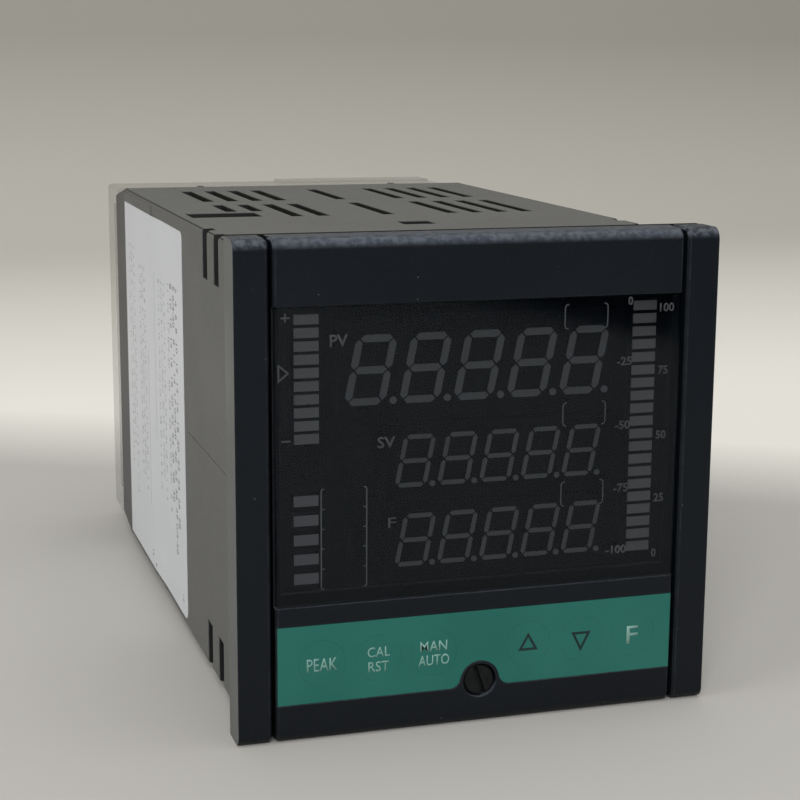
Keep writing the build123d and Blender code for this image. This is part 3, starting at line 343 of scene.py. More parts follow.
keyNames = ["key_peak", "key_calibrate", "key_auto", "key_raise", "key_lower", "key_function"]
finishes = {
    "casePlastic": ["case_sleeve"], "housingPlastic": ["rear_housing"], "bezelPlastic": ["front_bezel"],
    "gasketRubber": ["panel_gasket", "bezel_seal"], "labelSheet": ["side_label"], "clearCover": ["terminal_cover"],
    "tintedWindow": ["display_window"], "greenFilm": ["keypad_film"] + keyNames,
    "blackPlastic": [
        "terminal_strip_left", "terminal_strip_middle", "terminal_strip_right", "rear_sockets", "key_switches",
        "board_carrier", "processor_chips", "board_headers",
    ],
    "displayFace": [
        "pv_display", "sv_display", "set_display", "deviation_bargraph", "level_bargraph", "display_mask",
        "status_lamps",
    ],
    "segmentDiffuser": ["pv_segments", "sv_segments", "set_segments"],
    "barDiffuser": ["deviation_segments", "level_segments"],
    "boardLaminate": ["display_board", "processor_board", "output_board", "power_board"],
    "relayCase": ["output_relays"], "capacitorSleeve": ["filter_capacitors"], "windingTape": ["transformer_winding"],
    "coreSteel": ["transformer_core"], "brassMetal": ["screw_insert"], "darkSteel": ["front_screw", "screw_clip"],
    "platedSteel": ["terminal_clamps", "terminal_screws", "carrier_screws"],
}
for paint, nodeNames in finishes.items():
    for nodeName in nodeNames:
        nodes[nodeName].data.materials.clear()
        nodes[nodeName].data.materials.append(paints[paint])
print("materials on", sum(len(nodeNames) for nodeNames in finishes.values()), "pieces")

# The side bars belong to the case in one moulding, but they are the bezel's darker plastic
flangeDepth = 7.8
flangeTolerance = 0.01


def paintFlange():
    mesh = nodes["case_sleeve"].data
    mesh.materials.append(paints["flangePlastic"])
    limit = depthY(flangeDepth + flangeTolerance)
    for face in mesh.polygons:
        if all(mesh.vertices[index].co.y < limit for index in face.vertices):
            face.material_index = 1


paintFlange()


def finishPiece(name, mesh, body, paint):
    mesh.materials.clear()
    mesh.materials.append(paints[paint])
    piece = addObject(name, mesh)
    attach(piece, body)
    return piece


def textMesh(words, bold=0.0):
    curve = bpy.data.curves.new("words", "FONT")
    curve.body = words
    curve.size = 1.0
    curve.offset = bold
    curve.resolution_u = 3
    holder = addObject("words", curve)
    mesh = evaluatedMesh(holder)
    bpy.data.objects.remove(holder)
    bpy.data.curves.remove(curve)
    return mesh


def roundedPath(points, radius, closed=False):
    # Short arcs in place of the corners of a line
    count = len(points)
    path = []
    for index, point in enumerate(points):
        corner = Vector(point)
        if not closed and index in (0, count - 1):
            path.append(tuple(corner))
            continue
        before = Vector(points[index - 1])
        after = Vector(points[(index + 1) % count])
        enter = corner + (before - corner).normalized() * radius
        leave = corner + (after - corner).normalized() * radius
        for share in (0.0, 0.33, 0.67, 1.0):
            path.append(tuple(enter.lerp(corner, share).lerp(corner.lerp(leave, share), share)))
    return path


def strokePath(points, width, closed=False):
    # A flat ribbon of even width along straight runs, with mitred corners
    count = len(points)
    left, right = [], []
    for index, point in enumerate(points):
        directions = []
        if closed or index > 0:
            directions.append((Vector(point) - Vector(points[index - 1])).normalized())
        if closed or index < count - 1:
            directions.append((Vector(points[(index + 1) % count]) - Vector(point)).normalized())
        along = sum(directions, Vector((0, 0))).normalized()
        across = Vector((-along.y, along.x))
        stretch = 1.0 / max(0.3, across.dot(Vector((-directions[0].y, directions[0].x))))
        left.append(Vector(point) + across * width / 2 * stretch)
        right.append(Vector(point) - across * width / 2 * stretch)
    mesh = bpy.data.meshes.new("stroke")
    corners = [(v.x, v.y, 0) for v in left] + [(v.x, v.y, 0) for v in right]
    faces = []
    for index in range(count if closed else count - 1):
        other = (index + 1) % count
        faces.append((index, count + index, count + other, other))
    mesh.from_pydata(corners, [], faces)
    return mesh


def fitMesh(mesh, across, up):
    # Moves and scales flat print so that it fills the measured box, in millimetres
    xs = [v.co.x for v in mesh.vertices]
    ys = [v.co.y for v in mesh.vertices]
    scaleX = (across[1] - across[0]) / (max(xs) - min(xs))
    scaleY = (up[1] - up[0]) / (max(ys) - min(ys))
    for vertex in mesh.vertices:
        vertex.co.x = across[0] + (vertex.co.x - min(xs)) * scaleX
        vertex.co.y = up[0] + (vertex.co.y - min(ys)) * scaleY
        vertex.co.z = 0.0
    return mesh


capitalHeight = 0.7  # of the font at a size of 1


def setWords(words, height, start, downwards=False):
    # Words of a given height from a start point; downwards turns them a quarter to read towards the floor
    mesh = textMesh(words)
    scale = height / capitalHeight
    for vertex in mesh.vertices:
        x, y = vertex.co.x * scale, vertex.co.y * scale
        vertex.co = (start[0] + y, start[1] - x, 0) if downwards else (start[0] + x, start[1] + y, 0)
    return mesh


def layInk(parts, place, thickness):
    # Joins flat print, gives it its thickness and puts each point where place(across, up, out) says, in millimetres
    sheet = bmesh.new()
    for mesh in parts:
        sheet.from_mesh(mesh)
        bpy.data.meshes.remove(mesh)
    bmesh.ops.remove_doubles(sheet, verts=sheet.verts, dist=1e-5)
    flat = list(sheet.faces)
    grown = bmesh.ops.extrude_face_region(sheet, geom=flat)
    raised = [item for item in grown["geom"] if isinstance(item, bmesh.types.BMVert)]
    bmesh.ops.translate(sheet, verts=raised, vec=(0, 0, thickness))
    for vertex in sheet.verts:
        x, depth, up = place(*vertex.co)
        vertex.co = (x * mm, depthY(depth), up * mm)
    bmesh.ops.recalc_face_normals(sheet, faces=sheet.faces)
    mesh = bpy.data.meshes.new("ink")
    sheet.to_mesh(mesh)
    sheet.free()
    return mesh


windowPrintLook = dict(
    depth=0.15, thickness=0.02,  # on the window's front face
    words=[
        ("PV", (-30.1, -26.65), (75.9, 78.2), 0.02),
        ("SV", (-20.95, -17.45), (56.35, 58.5), 0.015),
        ("F", (-18.75, -17.2), (40.8, 42.8), 0.0),
        ("0", (29.2, 30.2), (81.5, 83.2), 0.03),
        ("-25", (27.2, 30.3), (69.8, 71.5), 0.02),
        ("-50", (27.2, 30.3), (57.2, 58.9), 0.02),
        ("-75", (27.2, 30.3), (44.6, 46.3), 0.02),
        ("-100", (25.95, 30.35), (32.1, 33.8), 0.03),
        ("100", (35.9, 38.9), (80.0, 81.7), 0.02),
        ("75", (35.9, 38.0), (67.7, 69.4), 0.02),
        ("50", (35.9, 38.0), (54.8, 56.5), 0.02),
        ("25", (35.9, 38.0), (42.1, 43.8), 0.02),
        ("0", (35.8, 36.8), (30.8, 32.5), 0.02),
    ],
    plus=(-38.45, 81.6), plusReach=0.85, minus=(-38.42, 58.7), signWidth=0.32,
    pointer=[(-39.75, 69.95), (-39.75, 72.85), (-37.95, 71.4)], pointerWidth=0.30,
    scaleLines=((1, -31.8), (-1, -22.97)), scaleTop=49.2, scaleBottom=29.85, scaleHook=0.6, scaleRadius=0.4,
    lineWidth=0.22, tickLevels=(45.35, 41.5, 37.7, 33.8), tickReach=0.7, tickWidth=0.187,
    brackets=((77.4, 82.1), (58.5, 63.0), (42.6, 47.4)), bracketSides=((1, 16.2), (-1, 25.0)), bracketHook=0.75,
    bracketRadius=0.7, bracketWidth=0.209,
)


def makeWindowPrint():
    look = windowPrintLook

    def onWindow(across, up, out):
        return across, look["depth"] - out, up

    parts = [fitMesh(textMesh(words, bold), across, up) for words, across, up, bold in look["words"]]
    (x, z), reach, width = look["plus"], look["plusReach"], look["signWidth"]
    parts.append(strokePath([(x - reach, z), (x - width / 2, z)], width))
    parts.append(strokePath([(x + width / 2, z), (x + reach, z)], width))
    parts.append(strokePath([(x, z - reach), (x, z + reach)], width))
    x, z = look["minus"]
    parts.append(strokePath([(x - reach, z), (x + reach, z)], width))
    parts.append(strokePath(look["pointer"], look["pointerWidth"], closed=True))
    mesh = layInk(parts, onWindow, look["thickness"])
    finishPiece("windowWords", mesh, "instrument", "greyInk")
    lines = []
    for side, x in look["scaleLines"]:
        hook, top, bottom = side * look["scaleHook"], look["scaleTop"], look["scaleBottom"]
        path = roundedPath([(x + hook, top), (x, top), (x, bottom), (x + hook, bottom)], look["scaleRadius"])
        lines.append(strokePath(path, look["lineWidth"]))
        for level in look["tickLevels"]:
            ends = [(x + side * reach, level) for reach in (look["lineWidth"] / 2, look["tickReach"])]
            lines.append(strokePath(ends, look["tickWidth"]))
    for low, high in look["brackets"]:
        for side, x in look["bracketSides"]:
            hook = side * look["bracketHook"]
            path = roundedPath([(x + hook, high), (x, high), (x, low), (x + hook, low)], look["bracketRadius"])
            lines.append(strokePath(path, look["bracketWidth"]))
    mesh = layInk(lines, onWindow, look["thickness"])
    finishPiece("windowLines", mesh, "instrument", "paleInk")


keyPrintLook = dict(
    depth=0.05, thickness=0.02, lineWidth=0.5, bold=0.006,  # on the film's front face
    words={
        "key_peak": [("PEAK", (-34.7, -28.7), (13.75, 16.3))],
        "key_calibrate": [("CAL", (-22.75, -18.3), (15.5, 17.5)), ("RST", (-22.6, -18.5), (12.55, 14.6))],
        "key_auto": [("MAN", (-12.2, -6.75), (15.6, 17.65)), ("AUTO", (-12.55, -6.3), (12.7, 14.85))],
        "key_function": [("F", (31.05, 33.45), (13.1, 16.8))],
    },
    arrows={
        "key_raise": [(8.35, 14.1), (11.65, 14.1), (10.0, 17.0)],
        "key_lower": [(19.5, 16.4), (21.15, 13.1), (22.85, 16.4)],
    },
)


def makeKeyPrint():
    look = keyPrintLook

    def onFilm(across, up, out):
        return across, look["depth"] - out, up

    for key, rows in look["words"].items():
        parts = [fitMesh(textMesh(words, look["bold"]), across, up) for words, across, up in rows]
        finishPiece(key + "_legend", layInk(parts, onFilm, look["thickness"]), key, "legendInk")
    for key, corners in look["arrows"].items():
        mesh = layInk([strokePath(corners, look["lineWidth"], closed=True)], onFilm, look["thickness"])
        finishPiece(key + "_legend", mesh, key, "darkInk")


# The side label carries four blocks of small plain numbers, which read towards the floor
labelPrintLook = dict(
    face=45.65, rearFace=45.95, slopeStart=92.0, slopeEnd=106.0, thickness=0.02,
    blocks=[  # front edge of the first row, top, bottom, rows, height of the figures, dark or faint
        dict(start=131.0, top=81.0, bottom=17.0, rows=3, height=1.5, dark=False),
        dict(start=115.0, top=77.5, bottom=19.0, rows=3, height=1.7, dark=False),
        dict(start=88.6, top=77.0, bottom=23.0, rows=3, height=1.5, dark=False),
        dict(start=72.5, top=78.0, bottom=18.5, rows=4, height=2.0, dark=True),
    ],
    letterShare=0.56, rowPitch=3.4, rowShrink=0.08, darkRows=3,
    singles=[("12", 111.0, 8.6), ("10", 71.0, 9.0), ("8", 107.0, 5.9)], singleHeight=1.5,
    frames=[(101.6, 78.0, 38.0), (111.6, 58.0, 19.0)], frameWidth=0.25,  # depth, top and bottom of thin lines
)


def labelRow(look, row, length, height):
    # Plain numbers with gaps, enough to fill the length
    words = ""
    number = 3 * row + 1
    while len(words) * height * look["letterShare"] < length:
        words += str(number % 30 + 1) + ("  " if number % 4 else " 0/4-20   ")
        number += 2 + row % 2
    return words


def makeLabelPrint():
    look = labelPrintLook

    def onLabel(across, up, out):
        depth = -across
        share = min(1.0, max(0.0, (depth - look["slopeStart"]) / (look["slopeEnd"] - look["slopeStart"])))
        return -(look["face"] + (look["rearFace"] - look["face"]) * share + out), depth, up

    faint, dark = [], []
    for block in look["blocks"]:
        for row in range(block["rows"]):
            depth = block["start"] + row * look["rowPitch"] + block["height"]
            length = (block["top"] - block["bottom"]) * (1.0 - look["rowShrink"] * ((row * 2 + block["rows"]) % 3))
            words = labelRow(look, row, length, block["height"])
            mesh = setWords(words, block["height"], (-depth, block["top"]), downwards=True)
            (dark if block["dark"] and row < look["darkRows"] else faint).append(mesh)
    for words, depth, top in look["singles"]:
        dark.append(setWords(words, look["singleHeight"], (-depth, top), downwards=True))
    for depth, top, bottom in look["frames"]:
        faint.append(strokePath([(-depth, top), (-depth, bottom)], look["frameWidth"]))
    finishPiece("labelNumbersFaint", layInk(faint, onLabel, look["thickness"]), "case", "faintInk")
    finishPiece("labelNumbersDark", layInk(dark, onLabel, look["thickness"]), "case", "labelInk")


stripPrintLook = dict(
    strips=(-29.5, 0.0, 29.5), rows=10, pitch=8.0, lowest=12.0, offset=-10.8, depth=158.0, height=1.9, thickness=0.03,
)


def makeStripNumbers():
    look = stripPrintLook

    def onStrip(across, up, out):  # seen from behind, so across runs the other way
        return -across, look["depth"] + out, up

    parts = []
    number = 0
    for x in reversed(look["strips"]):
        for row in reversed(range(look["rows"])):
            number += 1
            level = look["lowest"] + row * look["pitch"] - look["height"] / 2
            parts.append(setWords(str(number), look["height"], (-x + look["offset"], level)))
    finishPiece("stripNumbers", layInk(parts, onStrip, look["thickness"]), "case", "numberInk")


makeWindowPrint()
makeKeyPrint()
makeLabelPrint()
makeStripNumbers()
print("window, key, label and terminal print laid")


def makeRowsTree():
    # Sets copies of a piece in columns and rows from a first place, each turned a little at random about the depth axis
    tree = bpy.data.node_groups.new("rowsOfPieces", "GeometryNodeTree")
    kinds = {
        "piece": "NodeSocketObject", "finish": "NodeSocketMaterial", "firstPlace": "NodeSocketVector",
        "columns": "NodeSocketInt", "columnStep": "NodeSocketVector", "rows": "NodeSocketInt",
        "rowStep": "NodeSocketVector", "turn": "NodeSocketFloat",
    }
    for label, kind in kinds.items():
        tree.interface.new_socket(name=label, in_out="INPUT", socket_type=kind)
    tree.interface.new_socket(name="result", in_out="OUTPUT", socket_type="NodeSocketGeometry")
    given = tree.nodes.new("NodeGroupInput").outputs
    columnInputs = {"Count": given["columns"], "Start Location": given["firstPlace"], "Offset": given["columnStep"]}
    columnLine = addNode(tree, "GeometryNodeMeshLine", columnInputs, mode="OFFSET")
    rowLine = addNode(tree, "GeometryNodeMeshLine", {"Count": given["rows"], "Offset": given["rowStep"]}, mode="OFFSET")
    gridInputs = {"Points": columnLine.outputs["Mesh"], "Instance": rowLine.outputs["Mesh"]}
    grid = addNode(tree, "GeometryNodeInstanceOnPoints", gridInputs)
    places = addNode(tree, "GeometryNodeRealizeInstances", {"Geometry": grid.outputs["Instances"]})
    lowest = multiplied(tree, given["turn"], -1.0)
    chance = addNode(tree, "FunctionNodeRandomValue", {2: lowest, 3: given["turn"], "Seed": 5}, data_type="FLOAT")
    angles = addNode(tree, "ShaderNodeCombineXYZ", {"Y": chance.outputs[1]})
    turned = addNode(tree, "FunctionNodeEulerToRotation", {"Euler": angles.outputs["Vector"]})
    source = addNode(tree, "GeometryNodeObjectInfo", {"Object": given["piece"]})
    copyInputs = {
        "Points": places.outputs["Geometry"], "Instance": source.outputs["Geometry"],
        "Rotation": turned.outputs["Rotation"],
    }
    copies = addNode(tree, "GeometryNodeInstanceOnPoints", copyInputs)
    solid = addNode(tree, "GeometryNodeRealizeInstances", {"Geometry": copies.outputs["Instances"]})
    paintInputs = {"Geometry": solid.outputs["Geometry"], "Material": given["finish"]}
    painted = addNode(tree, "GeometryNodeSetMaterial", paintInputs)
    result = tree.nodes.new("NodeGroupOutput")
    tree.links.new(painted.outputs["Geometry"], result.inputs["result"])
    return tree


rowsTree = makeRowsTree()


def growRows(pattern, paint, layout):
    # The plain mesh of one set of rows; places and steps are (across, depth, up) in millimetres
    holder = addObject("rows", bpy.data.meshes.new("rows"))
    modifier = holder.modifiers.new("rows", "NODES")
    modifier.node_group = rowsTree
    x, depth, z = layout["first"]
    values = {
        "piece": pattern, "finish": paints[paint], "firstPlace": (x * mm, depthY(depth), z * mm),
        "columns": layout.get("columns", 1), "columnStep": Vector(layout.get("columnStep", (0, 0, 0))) * mm,
        "rows": layout.get("rows", 1), "rowStep": Vector(layout.get("rowStep", (0, 0, 0))) * mm,
        "turn": layout.get("turn", 0.0),
    }
    for item in rowsTree.interface.items_tree:
        if item.in_out == "INPUT":
            modifier[item.identifier] = values[item.name]
    mesh = evaluatedMesh(holder)
    bpy.data.objects.remove(holder)
    return mesh


def makePattern(shape):
    bmesh.ops.recalc_face_normals(shape, faces=shape.faces)
    mesh = bpy.data.meshes.new("pattern")
    shape.to_mesh(mesh)
    shape.free()
    return addObject("pattern", mesh)


def growPiece(name, parts, body, paint):
    # One piece from several shapes, each with its own sets of rows
    joined = bmesh.new()
    for shape, layouts in parts:
        pattern = makePattern(shape)
        for layout in layouts:
            mesh = growRows(pattern, paint, layout)
            joined.from_mesh(mesh)
            bpy.data.meshes.remove(mesh)
        bpy.data.objects.remove(pattern)
    result = bpy.data.meshes.new(name)
    joined.to_mesh(result)
    joined.free()
    return finishPiece(name, result, body, paint)


def addPrism(shape, near, far):
    # A solid between two like outlines, given as (across, depth, up) points in millimetres
    near = [shape.verts.new([value * mm for value in point]) for point in near]
    far = [shape.verts.new([value * mm for value in point]) for point in far]
    shape.faces.new(near)
    shape.faces.new(list(reversed(far)))
    for index in range(len(near)):
        other = (index + 1) % len(near)
        shape.faces.new((near[index], near[other], far[other], far[index]))


def addProfile(shape, points, start, end):  # outline of (depth, up) points, between two places across
    addPrism(shape, [(start, depth, up) for depth, up in points], [(end, depth, up) for depth, up in points])


def addPlate(shape, points, front, back):  # outline of (across, up) points, between two depths
    addPrism(shape, [(x, front, z) for x, z in points], [(x, back, z) for x, z in points])


def addBar(shape, width, height, thickness):  # a flat bar that hangs down from its upper left corner
    addPlate(shape, [(0, -height), (width, -height), (width, 0), (0, 0)], 0.0, thickness)


digitLook = dict(
    front=1.75, thickness=0.25, slant=11.0, endGap=0.24, count=5, dotSides=20,
    rows=dict(
        pv=dict(left=-27.0, bottom=64.35, height=13.25, width=7.95, pitch=10.7, stroke=1.35, dotAt=9.6, dotRadius=0.7),
        sv=dict(left=-17.05, bottom=48.1, height=10.1, width=6.3, pitch=8.46, stroke=0.82, dotAt=7.55, dotRadius=0.56),
        set=dict(left=-17.0, bottom=32.55, height=10.25, width=6.4, pitch=8.51, stroke=0.82, dotAt=7.6, dotRadius=0.56),
    ),
)


def addPointedBar(shape, start, end, half, gap, lean):
    # One segment of a digit, its ends cut to points and its outline leaning to the right
    start, end = Vector(start), Vector(end)
    along = (end - start).normalized()
    across = Vector((-along.y, along.x))
    length = (end - start).length
    steps = (
        (gap, 0), (gap + half, half), (length - gap - half, half), (length - gap, 0), (length - gap - half, -half),
        (gap + half, -half),
    )
    points = [start + along * run + across * off for run, off in steps]
    addPlate(shape, [(point.x + point.y * lean, point.y) for point in points], 0.0, digitLook["thickness"])


def makeDigits():
    # Seven pointed bars and a dot, five times in a row, on the face of each display
    look = digitLook
    lean = math.tan(math.radians(look["slant"]))
    ring = [2 * math.pi * step / look["dotSides"] for step in range(look["dotSides"])]
    for row, digit in look["rows"].items():
        half, radius = digit["stroke"] / 2, digit["dotRadius"]
        sides = (half, digit["width"] - half)
        levels = (half, digit["height"] / 2, digit["height"] - half)
        bars = [((sides[0], level), (sides[1], level)) for level in levels]
        for side in sides:
            bars += [((side, levels[0]), (side, levels[1])), ((side, levels[1]), (side, levels[2]))]
        shape = bmesh.new()
        for start, end in bars:
            addPointedBar(shape, start, end, half, look["endGap"], lean)
        dot = [(digit["dotAt"] + radius * math.cos(angle), half + radius * math.sin(angle)) for angle in ring]
        addPlate(shape, dot, 0.0, look["thickness"])
        first = (digit["left"], look["front"], digit["bottom"])
        layout = dict(first=first, columns=look["count"], columnStep=(digit["pitch"], 0, 0))
        piece = growPiece(row + "Digits", [(shape, [layout])], "instrument", "segmentDiffuser")
        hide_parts(row + "_segments")


barLook = dict(
    front=1.75, thickness=0.25, height=1.84,
    columns=dict(
        deviation=dict(left=-36.46, width=4.7, top=81.87, pitch=2.49, count=10),
        level=dict(left=31.1, width=4.85, top=82.07, pitch=2.542, count=20),
    ),
    lamps=dict(left=-36.6, width=4.75, front=1.96, thickness=0.04, height=2.05, top=47.7, pitch=3.77, count=5),
)


def growColumn(name, bar, paint):
    shape = bmesh.new()
    addBar(shape, bar["width"], bar["height"], bar["thickness"])
    first = (bar["left"], bar["front"], bar["top"])
    layout = dict(first=first, rows=bar["count"], rowStep=(0, 0, -bar["pitch"]))
    return growPiece(name, [(shape, [layout])], "instrument", paint)


def makeBars():
    for column, bar in barLook["columns"].items():
        piece = growColumn(column + "Bars", dict(barLook, **bar), "barDiffuser")
        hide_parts(column + "_segments")
    growColumn("lampFields", barLook["lamps"], "lampDiffuser")


terminalScrewLook = dict(
    headRadius=2.6, headHeight=2.0, rim=0.45, shankRadius=1.3, shankLength=4.8, slotWidth=0.7, slotDepth=1.1,
    crossWidth=0.7, crossLength=2.7, sides=28, first=(-29.5, 159.0, 12.0), columns=3, columnStep=(29.5, 0.0, 0.0),
    rows=10, rowStep=(0.0, 0.0, 8.0), turn=1.5,
)


def turnOutline(shape, outline, sides):
    # Turns (radius, out) points about the depth axis
    rings = []
    for radius, out in outline:
        angles = [2 * math.pi * step / sides for step in range(sides if radius else 1)]
        places = [(radius * math.cos(angle) * mm, out * mm, radius * math.sin(angle) * mm) for angle in angles]
        rings.append([shape.verts.new(place) for place in places])
    for low, high in zip(rings, rings[1:]):
        for step in range(sides):
            other = (step + 1) % sides
            corners = [low[step % len(low)], low[other % len(low)], high[other % len(high)], high[step % len(high)]]
            shape.faces.new(list(dict.fromkeys(corners)))


def makeTerminalScrews():
    look = terminalScrewLook
    head, rim, top = look["headRadius"], look["rim"], look["headHeight"]
    shank, end = look["shankRadius"], -look["shankLength"]
    outline = [  # radius and height, with small steps that round the edges
        (0.0, end), (shank - 0.3, end), (shank, end + 0.4), (shank, 0.0), (head - 0.1, 0.0), (head, 0.15),
        (head, top - rim - 0.15), (head - 0.12, top - rim * 0.45), (head - rim, top - 0.06), (head * 0.55, top),
        (0.0, top),
    ]
    shape = bmesh.new()
    turnOutline(shape, outline, look["sides"])
    pattern = makePattern(shape)
    floor, above = top - look["slotDepth"], top + 1.0
    cutters = []
    for across, up in ((head + 1.0, look["slotWidth"] / 2), (look["crossWidth"] / 2, look["crossLength"] / 2)):
        cutter = bmesh.new()
        addProfile(cutter, [(floor, -up), (above, -up), (above, up), (floor, up)], -across, across)
        cutters.append(makePattern(cutter))
        modifier = pattern.modifiers.new("cut", "BOOLEAN")
        modifier.operation = "DIFFERENCE"
        modifier.solver = "EXACT"
        modifier.object = cutters[-1]
    shape = bmesh.new()
    shape.from_mesh(evaluatedMesh(pattern))
    for item in [pattern] + cutters:
        bpy.data.objects.remove(item)
    piece = growPiece("slottedTerminalScrews", [(shape, [look])], "case", "platedSteel")
    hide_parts("terminal_screws")


contactLook = dict(
    boards=(-38.0, 9.0, 38.0), boardHalf=0.8, thickness=0.04, length=6.0, width=1.6, tip=0.3, front=137.5, lowest=18.0,
    pitch=2.54, count=24,
)


def makeContacts():
    # Gilded contacts on both faces at the rear edge of each board
    look = contactLook
    half, end, tip = look["width"] / 2, look["length"], look["tip"]
    outline = [(0.0, -half / 2), (tip, -half), (end, -half), (end, half), (tip, half), (0.0, half / 2)]
    shape = bmesh.new()
    face, outer = look["boardHalf"], look["boardHalf"] + look["thickness"]
    for low, high in ((-outer, -face), (face, outer)):
        addProfile(shape, outline, low, high)
    rows = dict(rows=look["count"], rowStep=(0, 0, look["pitch"]))
    layouts = [dict(rows, first=(x, look["front"], look["lowest"])) for x in look["boards"]]
    growPiece("boardContacts", [(shape, layouts)], "instrument", "brassMetal")


chipLegLook = dict(
    face=-37.2, rise=0.9, reach=1.3, bendStart=0.35, bendEnd=0.6, width=0.45, thickness=0.18, pitch=1.27, endSpace=2.0,
    chips=[  # centre's depth and height, length along the board, height
        (48.08, 50.0, 24.0, 24.0), (82.24, 62.0, 18.0, 10.0), (82.24, 38.0, 18.0, 10.0), (112.46, 50.0, 14.0, 14.0),
    ],
)


def makeChipLegs():
    # Gull-wing legs along the upper and lower edge of each chip
    look = chipLegLook
    rise, reach, half, wide = look["rise"], look["reach"], look["thickness"] / 2, look["width"] / 2
    line = [(rise, 0.0), (rise, reach * look["bendStart"]), (half, reach * look["bendEnd"]), (half, reach)]
    parts = []
    for side in (-1, 1):
        shape = bmesh.new()
        for (x0, z0), (x1, z1) in zip(line, line[1:]):
            ends = [(x0 - half, z0), (x0 + half, z0), (x1 + half, z1), (x1 - half, z1)]
            addPlate(shape, [(x, side * z) for x, z in ends], -wide, wide)
        layouts = []
        for depth, level, length, height in look["chips"]:
            count = int((length - look["endSpace"]) / look["pitch"]) + 1
            first = (look["face"], depth - (count - 1) * look["pitch"] / 2, level + side * height / 2)
            layouts.append(dict(first=first, columns=count, columnStep=(0, look["pitch"], 0)))
        parts.append((shape, layouts))
    growPiece("chipLegs", parts, "instrument", "platedSteel")


headerPinLook = dict(
    back=16.0, lowest=30.0, pitch=2.54, count=15, width=0.64, reach=1.4, length=1.6, bendAt=1.0,
    faces=[(-37.2, 1), (9.8, 1), (37.2, -1)],  # the board's face and the way the header stands off it
)


def makeHeaderPins():
    # Right-angled pins from the back of each header down to its board
    look = headerPinLook
    half, reach, bend = look["width"] / 2, look["reach"], look["bendAt"]
    parts = []
    for face, side in look["faces"]:
        shape = bmesh.new()
        runs = ((0.0, look["length"], reach - half, reach + half), (bend, bend + look["width"], 0.0, reach))
        for start, end, near, far in runs:
            outline = [(start, -half), (end, -half), (end, half), (start, half)]
            addProfile(shape, outline, min(side * near, side * far), max(side * near, side * far))
        first = (face, look["back"], look["lowest"])
        parts.append((shape, [dict(first=first, rows=look["count"], rowStep=(0, 0, look["pitch"]))]))
    growPiece("headerPins", parts, "instrument", "platedSteel")


makeDigits()
makeBars()
makeTerminalScrews()
makeContacts()
makeChipLegs()
makeHeaderPins()
print("digits, bars, terminal screws, contacts, legs and pins made")


# The paper's own colour is the floor colour; the other colours paint how light and shade fall across it
stageLook = dict(
    floorColour=(0.468, 0.455, 0.432), nearColour=(0.55, 0.585, 0.605), paintedLightBand=(0.865, 0.845, 0.785),
    farColour=(0.60, 0.59, 0.53), paintedWallShade=(0.375, 0.362, 0.318), paintedLightSkew=0.53, paintedLightRange=(0.120, 0.212),
    nearRange=(-0.150, -0.190), farRange=(0.26, 0.75), wallRange=(0.0, 0.14), roughness=0.75,
    fibreScale=300.0, fibreBump=0.05, fibreDepth=0.0003,
    frontCut=((0.182, -0.66), (0.245, -0.49)), backWall=1.25, bend=0.55, bendSteps=12, wallHeight=2.4, halfWidth=3.0,
)


def makePaper():
    look = stageLook
    material, tree, shader, place = startMaterial("paper")
    axes = axesOf(tree, place)
    across = multiplied(tree, axes["X"], look["paintedLightSkew"])
    skewed = addNode(tree, "ShaderNodeMath", {0: axes["Y"], 1: across}, operation="ADD").outputs["Value"]
    colour = rgba(look["floorColour"])
    # Painted light on the plain paper: a bright band skewed across the table, other tones near the front and far back,
    # and painted shade up the wall
    changes = (
        (skewed, "paintedLightRange", "paintedLightBand"), (axes["Y"], "nearRange", "nearColour"),
        (axes["Y"], "farRange", "farColour"), (axes["Z"], "wallRange", "paintedWallShade"),
    )
    for value, reach, other in changes:
        colour = mixColours(tree, mapped(tree, value, *look[reach], 0.0, 1.0), colour, rgba(look[other]))
    fibre = noise(tree, place, look["fibreScale"], 4.0)
    bump = {"Height": fibre, "Strength": look["fibreBump"], "Distance": look["fibreDepth"]}
    tree.links.new(colour, shader.inputs["Base Color"])
    shader.inputs["Roughness"].default_value = look["roughness"]
    tree.links.new(addNode(tree, "ShaderNodeBump", bump).outputs["Normal"], shader.inputs["Normal"])
    return material


def makeStage():
    look = stageLook
    half, bend, start = look["halfWidth"], look["bend"], look["backWall"] - look["bend"]
    (cutLeft, cutFront), (cutRight, cutBack) = look["frontCut"]
    profile = [(cutBack, 0.0), (start, 0.0)]
    for step in range(1, look["bendSteps"] + 1):
        angle = math.pi / 2 * step / look["bendSteps"]
        profile.append((start + bend * math.sin(angle), bend - bend * math.cos(angle)))
    profile.append((look["backWall"], look["wallHeight"]))
    corners = [(side * half, y, z) for y, z in profile for side in (-1, 1)]
    faces = [(2 * i, 2 * i + 1, 2 * i + 3, 2 * i + 2) for i in range(len(profile) - 1)]
    first = len(corners)
    corners += [(-half, cutFront, 0.0), (cutLeft, cutFront, 0.0), (cutRight, cutBack, 0.0)]
    faces.append((0, first, first + 1, first + 2, 1))  # the table's front corner is cut off at the right
    mesh = bpy.data.meshes.new("paperSweep")
    mesh.from_pydata(corners, [], faces)
    for face in mesh.polygons:
        face.use_smooth = True
    mesh.materials.append(makePaper())
    sweep = addObject("paperSweep", mesh)


lightLook = dict(
    skyStrength=0.5, lowStrength=0.015, skyRange=(-0.02, 0.2), skyColour=(1.0, 0.985, 0.96),
    seenColour=(0.47, 0.455, 0.425),
    lamps=dict(
        topLamp=dict(power=5.0, size=1.2, place=(0.25, 0.05, 1.35), target=(0, 0, 0.05)),
        sideLamp=dict(power=5.0, size=0.9, place=(-1.2, -0.3, 0.9), target=(0, 0, 0.05)),
        frontLamp=dict(power=13.0, size=0.7, place=(-0.5, -1.25, 1.0), target=(0, -0.05, 0.05)),
    ),
)


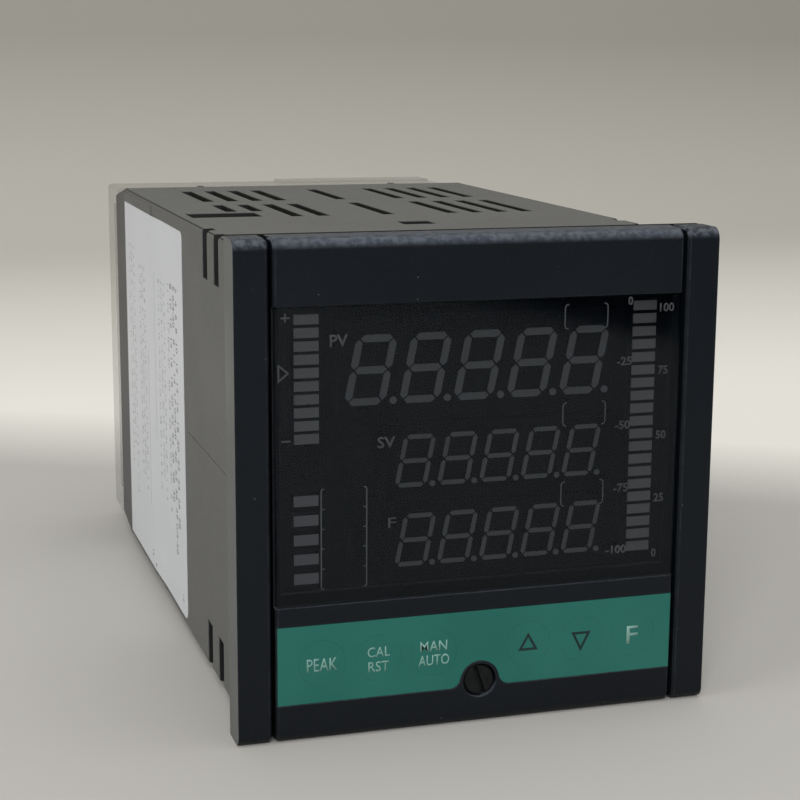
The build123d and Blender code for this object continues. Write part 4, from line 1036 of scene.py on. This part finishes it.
def makeLight():
    look = lightLook
    world = bpy.data.worlds.new("softRoom")
    bpy.context.scene.world = world
    world.use_nodes = True
    tree = world.node_tree
    height = axesOf(tree, addNode(tree, "ShaderNodeTexCoord").outputs["Generated"])["Z"]
    sky = mapped(tree, height, *look["skyRange"], look["lowStrength"], look["skyStrength"])
    light = toned(tree, rgba(look["skyColour"]), sky)
    seen = addNode(tree, "ShaderNodeLightPath").outputs["Is Camera Ray"]
    background = tree.nodes["Background"]
    tree.links.new(mixColours(tree, seen, light, rgba(look["seenColour"])), background.inputs["Color"])
    for name, item in look["lamps"].items():
        lamp = bpy.data.lights.new(name, "AREA")
        lamp.energy = item["power"]
        lamp.shape = "DISK"
        lamp.size = item["size"]
        holder = addObject(name, lamp)
        holder.location = item["place"]
        holder.rotation_euler = (Vector(item["target"]) - Vector(item["place"])).to_track_quat("-Z", "Y").to_euler()


cameraLook = dict(
    azimuth=math.radians(-17.2275), elevation=math.radians(11.3039), roll=math.radians(0.3748),
    place=(-111.378, -307.645, 129.633), focalPixels=1762.27, centre=(403.28, 400.54), imageSize=800.0, sensor=36.0,
    clipStart=0.01,
)


def makeCamera():
    look = cameraLook
    azimuth, elevation, roll = look["azimuth"], look["elevation"], look["roll"]
    level = math.cos(elevation)
    back = Vector((math.sin(azimuth) * level, -math.cos(azimuth) * level, math.sin(elevation)))
    right = Vector((math.cos(azimuth), math.sin(azimuth), 0.0))
    up = back.cross(right)
    turnedRight = right * math.cos(roll) + up * math.sin(roll)
    turnedUp = up * math.cos(roll) - right * math.sin(roll)
    size = look["imageSize"]
    camera = bpy.data.cameras.new("camera")
    camera.sensor_width = look["sensor"]
    camera.lens = look["focalPixels"] * look["sensor"] / size
    camera.shift_x = (size / 2 - look["centre"][0]) / size
    camera.shift_y = (look["centre"][1] - size / 2) / size
    camera.clip_start = look["clipStart"]
    holder = addObject("camera", camera)
    turn = Matrix((turnedRight, turnedUp, back)).transposed().to_4x4()
    x, y, z = look["place"]
    turn.translation = Vector((x * mm, depthY(y), z * mm))
    holder.matrix_world = turn
    bpy.context.scene.camera = holder


makeStage()
makeLight()
makeCamera()
bpy.context.scene.view_settings.view_transform = "Standard"
print("stage, light and camera set")
